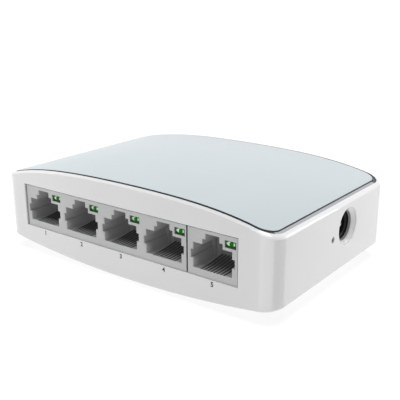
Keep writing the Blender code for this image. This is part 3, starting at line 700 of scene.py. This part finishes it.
def shell_rings():
    """From the cavity's ceiling, down its wall, round the rim and up to the floor of the seat."""
    rings = [
        casing_ring(WALL, raised(top_height, -ROOF)),
        casing_ring(WALL, raised(belly_height, RIM_CHAMFER_HEIGHT)),
        casing_ring(WALL - RIM_CHAMFER_WIDTH, belly_height),
    ]
    for angle in quarter(EDGE_SEGMENTS):
        lift = BELLY_ROUND * (1 - math.cos(angle))
        rings.append(casing_ring(BELLY_ROUND * (1 - math.sin(angle)), raised(belly_height, lift)))
    for angle in reversed(spread(0, SHOULDER_TURN, EDGE_SEGMENTS)):
        inset = SHOULDER_RADIUS * (math.sin(SHOULDER_TURN) - math.sin(angle))
        drop = SHOULDER_RADIUS * (1 - math.cos(angle))
        if inset < PLATE_END_INSET - GROOVE_END_WIDTH - GROOVE_BREAK:
            rings.append(casing_ring(inset, raised(top_height, -drop)))
    groove_floor = raised(top_height, -GROOVE_DEPTH)
    rings.append(groove_ring(GROOVE_BREAK / 2, raised(top_height, -GROOVE_BREAK / 3)))
    rings.append(groove_ring(0.0, raised(top_height, -GROOVE_BREAK)))
    rings.append(groove_ring(0.0, groove_floor))
    rings.append(plate_ring(-GROOVE_GAP, groove_floor))
    rings.append(plate_ring(-GROOVE_GAP, raised(top_height, -PLATE_SEAT - SEAT_GAP)))
    return rings


def past_rounded(x, y, half_width, half_depth, radius):
    """How far a point is outside a rectangle with round corners, or a negative number inside it."""
    across = max(abs(x) - half_width + radius, 0)
    along = max(abs(y) - half_depth + radius, 0)
    if across and along:
        return math.hypot(across, along) - radius
    return max(abs(x) - half_width, abs(y) - half_depth)


def paint_groove(shell):
    """Painted shade in the groove round the plate: grey for its floor along the sides, and dark for its
    ends and walls.
    """
    grey, dark = 1, 2
    outer = groove_ring(GROOVE_BREAK / 2, None)[:3]
    side_start = HALF_WIDTH - PLATE_SIDE_INSET - PLATE_RADIUS / 2
    back_start = HALF_DEPTH - PLATE_END_INSET - PLATE_RADIUS
    front_start = back_start + PLATE_RADIUS / 2
    for face in shell.data.polygons:
        centre = face.center
        depth = top_height(centre.x) - centre.z
        if past_rounded(centre.x, centre.y, *outer) < 0 and GROOVE_BREAK < depth < PLATE_SEAT:
            on_side = abs(centre.x) > side_start and -front_start < centre.y < back_start
            is_floor = abs(face.normal.z) > 0.7
            face.material_index = grey if on_side and is_floor else dark


def cut_jack_mouth(shell, wall_x):
    """The funnel before the power jack, round at its lip, with a grey ring of painted shade at its deep
    end.
    """
    start = MOUTH_RADIUS - MOUTH_LIP / 2
    mouth = [(-WALL - OVERCUT, THROAT_RADIUS), (-WALL + THROAT_STRAIGHT, THROAT_RADIUS),
             (-THROAT_DEPTH, THROAT_START_RADIUS)]
    for angle in quarter(8):
        mouth.append((-MOUTH_LIP * (1 - math.sin(angle)), start + MOUTH_LIP * (1 - math.cos(angle))))
    mouth.append((OVERCUT, start + MOUTH_LIP))
    boolean(shell, turned(mouth, (wall_x, JACK_Y, JACK_Z), JACK_AXIS))

    # Painted shade on the funnel's deep end.
    throat_grey = 3
    ring_start = wall_x - WALL + 0.05 * MM
    for face in shell.data.polygons:
        centre = face.center
        reach = math.hypot(centre.y - JACK_Y, centre.z - JACK_Z)
        if ring_start < centre.x < wall_x - THROAT_DEPTH and reach < MOUTH_RADIUS:
            face.material_index = throat_grey


def make_shell():
    """The white shell, with its openings cut and the screw posts joined on."""
    shell = piece_from(arched_solid(shell_rings()), "shell", WHITE, GROOVE_PAINTED_SHADE, PLATE_GAP_PAINTED_SHADE,
                       THROAT_PAINTED_SHADE)
    paint_groove(shell)
    window = rectangle(HOUSING_LOW.x - WINDOW_GAP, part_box("socket_housing_5")[1].x + WINDOW_GAP,
                       WINDOW_BOTTOM, WINDOW_TOP)
    boolean(shell, add_mouth(bmesh.new(), window, -HALF_DEPTH + SKIN, WALL + OVERCUT, WINDOW_BREAK))

    wall_x = HALF_WIDTH - SKIN
    cut_jack_mouth(shell, wall_x)
    hole = [(-WALL - OVERCUT, PINHOLE_RADIUS), (-PINHOLE_BREAK, PINHOLE_RADIUS),
            (0, PINHOLE_RADIUS + PINHOLE_BREAK), (OVERCUT, PINHOLE_RADIUS + PINHOLE_BREAK)]
    boolean(shell, turned(hole, (wall_x, PINHOLE_Y, PINHOLE_Z), JACK_AXIS, BOSS_SEGMENTS))

    for corner in CORNERS:
        place = foot_of(f"case_screw_{corner}")
        boolean(shell, cylinder(*POST_SPAN, POST_RADIUS, place), "UNION")
        boolean(shell, cylinder(*PILOT_SPAN, PILOT_RADIUS, place, UP, PEG_SEGMENTS))
    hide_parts("upper_shell")


def make_plate():
    """The top plate: a pale face with a soft rim, and sides dark with the painted shade of the gap
    round it.
    """
    rings = [plate_ring(PLATE_ROUND, raised(top_height, -PLATE_SEAT)),
             plate_ring(0, raised(top_height, -PLATE_SEAT + PLATE_ROUND))]
    side_top = PLATE_PROUD - PLATE_ROUND
    for angle in quarter(RIM_SEGMENTS):
        lift = side_top + PLATE_ROUND * math.sin(angle)
        rings.append(plate_ring(PLATE_ROUND * (1 - math.cos(angle)), raised(top_height, lift)))
    plate = piece_from(arched_solid(rings), "plate", PLATE_TOP, PLATE_GAP_PAINTED_SHADE)
    # Painted shade of the gap round the plate, on the plate's sides.
    dark = 1
    for face in plate.data.polygons:
        centre = face.center
        if centre.z < top_height(centre.x) + side_top + PLATE_PAINTED_SHADE_RIM:
            face.material_index = dark
    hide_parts("top_plate")


def make_digits():
    """The number of each port, printed on the front wall under its socket."""
    for port in PORTS:
        curve = bpy.data.curves.new(f"digit_{port}", "FONT")
        curve.body = str(port)
        curve.size = DIGIT_HEIGHT / DIGIT_SHARE_OF_SIZE
        curve.align_x = "CENTER"
        curve.offset = DIGIT_WEIGHT
        curve.extrude = SKIN / 2
        curve.resolution_u = 6
        curve.materials.append(INK)
        text = new_object(f"printed_digit_{port}", curve)
        text.location = (PORT_XS[port] + DIGIT_SHIFT, -HALF_DEPTH + SKIN / 2, DIGIT_BASE)
        text.rotation_euler = (math.pi / 2, 0, 0)
        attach(text, BODY)


# -------- sockets


def socket_outline(x):
    right = []
    level = SOCKET_FLOOR
    for half_width, upper in SOCKET_STEPS:
        right.append((half_width, level))
        right.append((half_width, upper))
        level = upper
    return [(x + u, v) for u, v in right + [(-u, v) for u, v in reversed(right)]]


def slot_centres(x):
    return [x + (i - (WIRE_COUNT - 1) / 2) * WIRE_PITCH for i in range(WIRE_COUNT)]


def make_housing(node, ports):
    """A block with a stepped mouth, eight wire slots and a lamp window for each of its ports."""
    low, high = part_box(node)
    base = BOARD_HIGH.z + SEAT_GAP
    trim = Vector((SEAM_TRIM, 0, 0))
    solid = add_box(bmesh.new(), Vector((low.x, low.y, base)) + trim, high - trim)
    housing = piece_from(solid, f"{node}_body", SOCKET_FACE, SOCKET_INSIDE_PAINTED_SHADE_AND_FILL, SEAM_PAINTED_SHADOW, LAMP_WELL_PAINTED_SHADE)
    soften(housing, HOUSING_ROUND)
    apply_modifiers(housing)
    cutters = [bmesh.new() for _ in range(4)]
    mouths, rears, slots, lamps = cutters
    for x in (PORT_XS[port] for port in ports):
        add_mouth(mouths, socket_outline(x), FACE_Y, SOCKET_DEPTH)
        add_box(rears, (x - REAR_HALF_WIDTH, FACE_Y + SOCKET_DEPTH - REAR_OVERLAP, REAR_BOTTOM),
                (x + REAR_HALF_WIDTH, high.y + OVERCUT, REAR_TOP))
        for centre in slot_centres(x):
            add_box(slots, (centre - SLOT_WIDTH / 2, FACE_Y + SLOT_LIP, REAR_BOTTOM),
                    (centre + SLOT_WIDTH / 2, FACE_Y + SOCKET_DEPTH, SOCKET_FLOOR + SLOT_RISE))
        window = rectangle(x + LAMP_LEFT, x + LAMP_RIGHT, LAMP_BOTTOM, LAMP_TOP)
        add_mouth(lamps, window, FACE_Y, LAMP_WELL_DEPTH, LAMP_BREAK)
    for cutter in cutters:
        boolean(housing, cutter)
    paint_housing(housing, low, high, base)
    add_pegs(housing, ports, low.z)
    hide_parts(node)


def paint_housing(housing, low, high, base):
    """Materials for the sockets' insides, the sides towards the other housing and the lamp wells, all
    three darkened with painted shade; the insides also glow with painted fill light.
    """
    inside, seam, well = 1, 2, 3
    edge = 0.15 * MM
    for face in housing.data.polygons:
        centre = face.center
        if centre.y < FACE_Y + EDGE_BREAK or centre.y > high.y - edge:
            continue
        # Painted shadow on the housing's ends at the gaps.
        if min(centre.x - low.x, high.x - centre.x) < edge:
            face.material_index = seam
        elif base + edge < centre.z < high.z - edge:
            # Painted shade on the lamp windows' walls.
            by_lamp = any(LAMP_LEFT - edge < centre.x - x < LAMP_RIGHT + edge for x in PORT_XS.values())
            face.material_index = well if by_lamp and centre.z > LAMP_BOTTOM - edge else inside


def add_pegs(housing, ports, bottom):
    """The plastic pegs that go through the board, one at each end of the housing."""
    for port, side in ((ports[0], -1), (ports[-1], 1)):
        place = (PORT_XS[port] + side * PEG_SIDE, FACE_Y + PEG_BACK, bottom)
        length = BOARD_HIGH.z + PEG_ROOT - bottom
        profile = [(0, PEG_TIP_RADIUS), (PEG_TIP, PEG_RADIUS), (length, PEG_RADIUS)]
        boolean(housing, turned(profile, place, UP, PEG_SEGMENTS), "UNION")


def make_wires(port):
    """Eight sprung wires that come up round a bend at the front and rise to the comb."""
    curve = bpy.data.curves.new(f"port_{port}_wires", "CURVE")
    curve.dimensions = "3D"
    curve.bevel_depth = WIRE_RADIUS
    curve.bevel_resolution = 3
    curve.use_fill_caps = True
    for x in slot_centres(PORT_XS[port]):
        spline = curve.splines.new("POLY")
        spline.points.add(len(WIRE_PATH) - 1)
        for point, (along, across) in zip(spline.points, WIRE_PATH):
            forward = along * math.cos(WIRE_SLOPE) - across * math.sin(WIRE_SLOPE)
            rise = along * math.sin(WIRE_SLOPE) + across * math.cos(WIRE_SLOPE)
            point.co = (x, WIRE_PIVOT_Y + forward * MM, WIRE_PIVOT_Z + rise * MM, 1.0)
        spline.use_smooth = True
    curve.materials.append(WIRE_METAL_PAINTED_FILL)
    wires = new_object(f"port_{port}_wires", curve)
    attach(wires, f"contacts_{port}")
    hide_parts(f"port_{port}_contact_wires")


def make_comb(port):
    """The block at the back of a socket, slotted for the wires' ends and grooved above them."""
    low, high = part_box(f"port_{port}_comb_block")
    comb = piece_from(add_box(bmesh.new(), low, high), f"port_{port}_comb", COMB_PLASTIC_PAINTED_FILL)
    soften(comb, COMB_ROUND)
    apply_modifiers(comb)
    slots = bmesh.new()
    grooves = bmesh.new()
    for centre in slot_centres(PORT_XS[port]):
        outline = rectangle(centre - COMB_SLOT_HALF_WIDTH, centre + COMB_SLOT_HALF_WIDTH,
                            low.z - OVERCUT, COMB_SLOT_TOP)
        add_mouth(slots, outline, low.y, COMB_SLOT_DEPTH, COMB_BREAK)
        add_box(grooves, (centre - COMB_GROOVE_HALF_WIDTH, low.y - OVERCUT, COMB_SLOT_TOP - OVERCUT),
                (centre + COMB_GROOVE_HALF_WIDTH, low.y + COMB_GROOVE_DEPTH, COMB_GROOVE_TOP))
    boolean(comb, slots)
    boolean(comb, grooves)
    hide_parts(f"port_{port}_comb_block")


def make_lamp(port):
    """A status lamp deep in its window: a dark green body, a pale lens and a deep green core."""
    low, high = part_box(f"port_{port}_lamp")
    front = FACE_Y + LAMP_DEPTH
    bm = add_box(bmesh.new(), (low.x - LAMP_GROW, front, low.z - LAMP_GROW),
                 (high.x + LAMP_GROW, high.y, high.z + LAMP_GROW))
    lamp = piece_from(bm, f"port_{port}_lamp_body", LAMP_BODY)
    soften(lamp, LAMP_ROUND)
    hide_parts(f"port_{port}_lamp")

    centre = Vector(((low.x + high.x) / 2 + LENS_SHIFT, front, (low.z + high.z) / 2 - LENS_DROP))
    lens = bmesh.new()
    bmesh.ops.create_uvsphere(lens, u_segments=40, v_segments=20, radius=1.0)
    stretch(lens, LENS_HALF_SIZE, centre)
    glass = piece_from(lens, f"port_{port}_lamp_lens", LAMP_LENS)

    centre.x += CORE_SHIFT
    core = turned(CORE_PROFILE, (0, 0, 0), (0, -1, 0), SCREW_SEGMENTS)
    stretch(core, (CORE_HALF_WIDTH, 1.0, CORE_HALF_HEIGHT), centre)
    heart = piece_from(core, f"port_{port}_lamp_core", LAMP_CORE)


# -------- power jack


def make_jack():
    """The jack: a block with a round flange, a flared bore, a seat for the pin and the leaf's slot."""
    face_x = JACK_HIGH.x
    block = add_box(bmesh.new(), JACK_LOW,
                    (face_x - BLOCK_SETBACK, JACK_HIGH.y - BLOCK_TRIM, JACK_HIGH.z))
    jack = piece_from(block, "power_jack", BLACK, JACK_BLACK)
    flange = [(face_x - FLANGE_DEPTH, FLANGE_RADIUS)]
    flange += rounded_end(face_x, FLANGE_RADIUS, FLANGE_ROUND)
    boolean(jack, turned(flange, JACK_CENTRE, JACK_AXIS), "UNION")
    mouth_radius = BORE_RADIUS + BORE_FLARE
    bore = [(face_x - BORE_DEPTH, BORE_RADIUS), (face_x - BORE_FLARE, BORE_RADIUS),
            (face_x, mouth_radius), (face_x + OVERCUT, mouth_radius)]
    boolean(jack, turned(bore, JACK_CENTRE, JACK_AXIS))
    boolean(jack, cylinder(*PIN_SEAT_SPAN, PIN_SEAT_RADIUS, JACK_CENTRE, JACK_AXIS))
    deep, shallow = LEAF_SLOT_DEPTHS
    lower, upper = LEAF_SLOT_DROPS
    slot = add_box(bmesh.new(), (face_x - deep, JACK_Y - LEAF_SLOT_HALF_WIDTH, JACK_Z - lower),
                   (face_x - shallow, JACK_Y + LEAF_SLOT_HALF_WIDTH, JACK_Z - upper))
    boolean(jack, slot)
    dull = 1
    for face in jack.data.polygons:
        if face.center.x > face_x - BORE_FLARE:
            face.material_index = dull
    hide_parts("power_jack_body")

    low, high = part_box("power_jack_pin")
    profile = [(low.x, PIN_RADIUS - PIN_FOOT_BREAK), (low.x + PIN_FOOT_BREAK, PIN_RADIUS)]
    profile += rounded_end(high.x, PIN_RADIUS, PIN_ROUND)
    pin = piece_from(turned(profile, JACK_CENTRE, JACK_AXIS, SCREW_SEGMENTS), "power_pin", NICKEL)
    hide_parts("power_jack_pin")


def finish_carried_over_nodes():
    """Materials and soft edges for the CAD nodes whose shape already is right."""
    looks = {
        "power_jack_spring_leaf": NICKEL,
        "power_light_pipe": CLEAR,
        "power_lamp_chip": CLEAR,
        "circuit_board": BOARD,
        "switch_chip": CHIP,
        "memory_chip": CHIP,
        "voltage_regulator": CHIP,
        "transformer_block_1_4": CHIP,
        "transformer_block_5": CHIP,
        "crystal": NICKEL,
        "power_inductor": FERRITE,
    }
    for node, look in looks.items():
        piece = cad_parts[node]
        piece.data.materials.clear()
        piece.data.materials.append(look)
    soften(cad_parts["power_jack_spring_leaf"], 0.05 * MM)
    soften(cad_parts["power_light_pipe"], 0.08 * MM)
    soften(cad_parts["circuit_board"], 0.05 * MM)


# -------- bottom


def add_screw_boss(cover, corner):
    """A boss on the cover's inner side, with a sink for the screw's head and a hole through."""
    place = foot_of(f"case_screw_{corner}")
    bottom = belly_height(place[0])
    boolean(cover, cylinder(bottom + BOSS_ROOT, BOSS_TOP, BOSS_RADIUS, place), "UNION")
    rim = bottom + COVER_LIFT
    sink = [(0, SINK_RIM_RADIUS), (rim, SINK_RIM_RADIUS), (rim + SINK_RIM_HEIGHT, SINK_RADIUS),
            (SINK_TOP, SINK_RADIUS), (SINK_TOP + 0.01 * MM, SCREW_HOLE_RADIUS),
            (SCREW_HOLE_TOP, SCREW_HOLE_RADIUS)]
    boolean(cover, turned(sink, place, UP, SCREW_SEGMENTS))


def add_board_riser(cover, side):
    """A riser under the board, with a blind hole for its screw."""
    place = foot_of(f"board_screw_{side}")
    base = belly_height(place[0]) + BOSS_ROOT
    boolean(cover, cylinder(base, BOARD_LOW.z - SEAT_GAP, RISER_RADIUS, place), "UNION")
    hole = cylinder(base + RISER_FLOOR, BOARD_LOW.z, SCREW_HOLE_RADIUS, place, UP, PEG_SEGMENTS)
    boolean(cover, hole)


def make_cover():
    """The bottom cover, which follows the casing's arch inside the shell's rim."""
    inset = WALL + SEAT_GAP
    rings = [
        casing_ring(inset + COVER_CHAMFER, raised(belly_height, COVER_LIFT)),
        casing_ring(inset, raised(belly_height, COVER_LIFT + COVER_CHAMFER)),
        casing_ring(inset, raised(belly_height, COVER_LIFT + COVER_THICKNESS)),
    ]
    cover = piece_from(arched_solid(rings), "cover", WHITE)
    for corner in CORNERS:
        add_screw_boss(cover, corner)
        place = foot_of(f"rubber_foot_{corner}")
        boolean(cover, cylinder(0, FOOT_SEAT_TOP, FOOT_SEAT_RADIUS, place, UP, ROUND_SEGMENTS))
    for side in SIDES:
        add_board_riser(cover, side)
    label_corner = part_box("blank_label")[1]
    plan = (label_corner.x + SEAT_GAP, label_corner.y + SEAT_GAP, LABEL_BED_RADIUS)
    bed = [(*plan, lambda x: 0.0), (*plan, raised(belly_height, COVER_LIFT + LABEL_BED_DEPTH))]
    boolean(cover, arched_solid(bed))
    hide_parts("bottom_cover")


def make_label():
    """A blank white film label with printed rules and no words."""
    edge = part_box("blank_label")[1]
    bottom = raised(belly_height, LABEL_LIFT)
    rings = [(edge.x, edge.y, LABEL_RADIUS, bottom),
             (edge.x, edge.y, LABEL_RADIUS, raised(bottom, LABEL_THICKNESS))]
    label = piece_from(arched_solid(rings), "label", LABEL)
    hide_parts("blank_label")

    rules = bmesh.new()
    left = -edge.x + RULE_MARGIN
    right = edge.x - RULE_MARGIN
    stops = spread(left, right, 24)
    for y in RULE_YS:
        for start, end in zip(stops, stops[1:]):
            z = min(bottom(start), bottom(end)) - RULE_THICKNESS
            add_box(rules, (start, y - RULE_WIDTH / 2, z),
                    (end, y + RULE_WIDTH / 2, z + 3 * RULE_THICKNESS))
    marks = piece_from(rules, "label_rules", INK)


def make_feet():
    """Round rubber feet with a dimple in the sole."""
    for corner in CORNERS:
        node = f"rubber_foot_{corner}"
        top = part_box(node)[1].z
        radius = radius_of(node)
        profile = FOOT_DIMPLE + rounded_end(0.0, radius - FOOT_SOLE_INSET, FOOT_ROUND, outward=-1)
        profile += [(top - FOOT_TOP_BREAK, radius), (top, radius - FOOT_TOP_BREAK)]
        foot = piece_from(turned(profile, foot_of(node)), f"foot_{corner}", RUBBER)
        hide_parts(node)


def threaded(start, end, radius):
    """A profile that goes in and out like a screw's thread, seen from the side."""
    points = []
    along = start
    while along < end - THREAD_PITCH:
        points += [(along, radius * 0.82), (along + THREAD_PITCH * 0.5, radius)]
        along += THREAD_PITCH
    return points + [(end - 0.1 * MM, radius * 0.7), (end, radius * 0.4)]


def make_screw(node, name, head_up):
    """A pan-head screw with a cross recess."""
    low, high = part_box(node)
    x, y, _ = foot_of(node)
    radius = radius_of(node)
    head_end = high.z if head_up else low.z
    inward = -1 if head_up else 1
    length = high.z - low.z
    profile = [(0.02 * MM, 0.3 * MM), (0.04 * MM, radius * 0.55), (0.25 * MM, radius * 0.88),
               (0.55 * MM, radius), (SCREW_HEAD, radius), (SCREW_HEAD + 0.01 * MM, SCREW_NECK_RADIUS)]
    profile += threaded(SCREW_HEAD + 0.2 * MM, length, THREAD_RADIUS)
    solid = turned(profile, (x, y, head_end), (0, 0, inward), SCREW_SEGMENTS)
    screw = piece_from(solid, name, STEEL)
    for half_x, half_y in (CROSS_HALF_SIZES, CROSS_HALF_SIZES[::-1]):
        cut = add_box(bmesh.new(), (x - half_x, y - half_y, head_end - CROSS_DEPTH),
                      (x + half_x, y + half_y, head_end + CROSS_DEPTH))
        boolean(screw, cut)
    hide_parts(node)


def make_screws():
    for corner in CORNERS:
        make_screw(f"case_screw_{corner}", f"screw_{corner}", head_up=False)
    for side in SIDES:
        make_screw(f"board_screw_{side}", f"inner_screw_{side}", head_up=True)


# -------- on the board


def add_leg(bm, x, y, outward, width, top, reach):
    """A gull-wing leg from a chip's side down to the board."""
    foot = BOARD_HIGH.z + 0.03 * MM
    thickness = 0.15 * MM
    knee = reach * 0.45
    side = Vector((-outward[1], outward[0], 0)) * width / 2
    out = Vector((*outward, 0))
    line = [(0.0, top), (knee, top), (knee + 0.1 * MM, foot + thickness), (reach, foot + thickness)]
    upper = [Vector((x, y, z)) + out * along for along, z in line]
    lower = [point - Vector((0, 0, thickness)) for point in reversed(upper)]
    near = [point - side for point in upper + lower]
    far = [point + side for point in upper + lower]
    add_sections(bm, [near, far])


def make_legs(node, per_side, sides, pitch, width, reach):
    """Legs along the stated sides of a chip: x for its left and right, y for front and back."""
    low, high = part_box(node)
    middle = (low + high) / 2
    top = low.z + (high.z - low.z) * 0.45
    bm = bmesh.new()
    for i in range(per_side):
        step = (i - (per_side - 1) / 2) * pitch
        for sign, edge in ((-1, low), (1, high)):
            if "y" in sides:
                add_leg(bm, middle.x + step, edge.y, (0, sign), width, top, reach)
            if "x" in sides:
                add_leg(bm, edge.x, middle.y + step, (sign, 0), width, top, reach)
    legs = piece_from(bm, f"{node}_legs", TIN)


def make_capacitors():
    """Electrolytic capacitors: a sleeved can with a waist, and a bare sunken top."""
    for index in (1, 2):
        node = f"capacitor_{index}"
        low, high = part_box(node)
        radius = radius_of(node)
        waist = low.z + 1.3 * MM
        waist_half_height = 0.4 * MM
        top = high.z - 0.05 * MM
        profile = rounded_end(low.z, radius, 0.4 * MM, outward=-1)
        profile += [(waist - waist_half_height, radius), (waist, radius - 0.3 * MM),
                    (waist + waist_half_height, radius)]
        profile += rounded_end(top, radius, 0.5 * MM)
        profile += [(top, radius - 0.8 * MM), (high.z - 0.15 * MM, radius - 0.9 * MM)]
        can = piece_from(turned(profile, foot_of(node)), f"capacitor_can_{index}", SLEEVE, CAN)
        bare = 1
        for face in can.data.polygons:
            if face.center.z > high.z - 0.2 * MM and face.normal.z > 0.9:
                face.material_index = bare
        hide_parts(node)


def make_small_parts():
    """Rows of small resistors and capacitors between the chips, with tinned ends."""
    bodies = bmesh.new()
    ends = bmesh.new()
    base = BOARD_HIGH.z + 0.02 * MM
    rows = [
        # x and y of the first part in millimetres, count, step along X (0 for a row along Y)
        (-18.0, 0.5, 6, 2.0), (0.5, 13.0, 5, 0.0), (-16.5, 20.5, 4, 2.2), (8.0, -1.5, 7, 2.0),
        (-33.0, -6.0, 3, 2.2), (-30.0, 14.0, 4, 2.4),
    ]
    step_along_y = 1.6
    half_length = 0.55 * MM
    half_width = 0.4 * MM
    height = 0.45 * MM
    end_half_length = 0.17 * MM
    for x, y, count, step in rows:
        for i in range(count):
            cx = (x + i * step) * MM
            cy = (y + (0 if step else i * step_along_y)) * MM
            add_box(bodies, (cx - half_length, cy - half_width, base),
                    (cx + half_length, cy + half_width, base + height))
            for side in (-1, 1):
                edge = cx + side * (half_length + end_half_length)
                add_box(ends, (edge - end_half_length, cy - half_width, base),
                        (edge + end_half_length, cy + half_width, base + height + 0.01 * MM))
    made = piece_from(bodies, "small_part_bodies", CHIP)
    made = piece_from(ends, "small_part_ends", TIN)


def make_board_details():
    """Small things on the board that the CAD leaves out, and the capacitors."""
    legs = [
        # chip, legs per side, sides, then pitch, width and reach in millimetres
        ("switch_chip", 24, "xy", 0.5, 0.22, 1.0),
        ("memory_chip", 4, "y", 1.27, 0.4, 1.0),
        ("voltage_regulator", 3, "y", 2.3, 0.7, 1.3),
        ("transformer_block_1_4", 20, "y", 1.6, 0.5, 1.4),
        ("transformer_block_5", 8, "y", 1.5, 0.5, 1.4),
    ]
    for node, per_side, sides, pitch, width, reach in legs:
        make_legs(node, per_side, sides, pitch * MM, width * MM, reach * MM)
    make_capacitors()
    make_small_parts()


# -------- stage


def make_stage():
    """A glowing floor inside a white cylinder, and the two cards that the casing mirrors."""
    bm = bmesh.new()
    bmesh.ops.create_grid(bm, x_segments=1, y_segments=1, size=STAGE_HALF_SIZE)
    object_from(bm, "floor", FLOOR)

    bm = bmesh.new()
    bmesh.ops.create_cone(bm, segments=96, radius1=STAGE_HALF_SIZE, radius2=STAGE_HALF_SIZE,
                          depth=2 * STAGE_HALF_SIZE)
    backdrop = object_from(bm, "backdrop", BACKDROP)
    only_seen_by_camera_and_gloss(backdrop)
    make_card("light_card", LIGHT_CARD_ARC, LIGHT_CARD)
    make_card("dark_card", DARK_CARD_ARC, DARK_CARD)


def only_seen_by_camera_and_gloss(piece):
    piece.visible_diffuse = False
    piece.visible_transmission = False
    piece.visible_shadow = False


def make_card(name, arc, material):
    """A curved card round the front right corner, seen only as a reflection."""
    bm = bmesh.new()
    middle = Vector((HALF_WIDTH - CORNER_RADIUS, -HALF_DEPTH + CORNER_RADIUS, 0))
    columns = []
    for angle in spread(*arc, 16):
        foot = middle + CARD_RADIUS * Vector((math.sin(angle), -math.cos(angle), 0))
        columns.append([bm.verts.new(foot), bm.verts.new(foot + Vector((0, 0, CARD_HEIGHT)))])
    for left, right in zip(columns, columns[1:]):
        bm.faces.new((left[0], right[0], right[1], left[1]))
    card = object_from(bm, name, material)
    only_seen_by_camera_and_gloss(card)
    card.visible_camera = False


def make_area_light(name, place, aim, size, power):
    data = bpy.data.lights.new(name, "AREA")
    data.shape = "SQUARE"
    data.size = size
    data.energy = power
    light = new_object(name, data)
    light.location = place
    direction = Vector(aim) - Vector(place)
    light.rotation_euler = direction.to_track_quat("-Z", "Y").to_euler()


def make_lights():
    """A pale surrounding, a soft sun straight above and two small lights near the casing."""
    world = bpy.data.worlds.new("studio")
    world.use_nodes = True
    background = world.node_tree.nodes["Background"]
    set_sockets(background, Color=(1.0, 1.0, 1.0, 1.0), Strength=0.20)
    bpy.context.scene.world = world

    sun = bpy.data.lights.new("overhead", "SUN")
    sun.energy = 2.82
    sun.angle = math.radians(50)
    new_object("overhead", sun)

    make_area_light("left_front", place=(-0.16, -0.13, 0.07), aim=(-0.05, -0.03, 0.015),
                    size=0.08, power=0.072)
    make_area_light("right_back", place=(0.17, 0.13, 0.08), aim=(0.05, 0.02, 0.015),
                    size=0.10, power=0.07)


def make_camera():
    data = bpy.data.cameras.new("camera")
    data.sensor_width = 36.0
    data.lens = LENS
    data.clip_start = 0.01
    camera = new_object("camera", data)
    camera.location = EYE
    turn = Matrix.Rotation(AZIMUTH, 4, "Z") @ Matrix.Rotation(math.pi / 2 - ELEVATION, 4, "X")
    camera.rotation_euler = (turn @ Matrix.Rotation(ROLL, 4, "Z")).to_euler()
    bpy.context.scene.camera = camera


def main():
    """Everything in turn: camera, pieces from the outside in, then stage and lights."""
    bpy.context.scene.view_settings.view_transform = "Standard"
    make_camera()
    make_shell()
    make_plate()
    make_digits()
    make_housing("socket_housing_1_4", (1, 2, 3, 4))
    make_housing("socket_housing_5", (5,))
    for port in PORTS:
        make_wires(port)
        make_comb(port)
        make_lamp(port)
    make_jack()
    make_cover()
    make_label()
    make_feet()
    make_screws()
    make_board_details()
    finish_carried_over_nodes()
    make_stage()
    make_lights()


main()
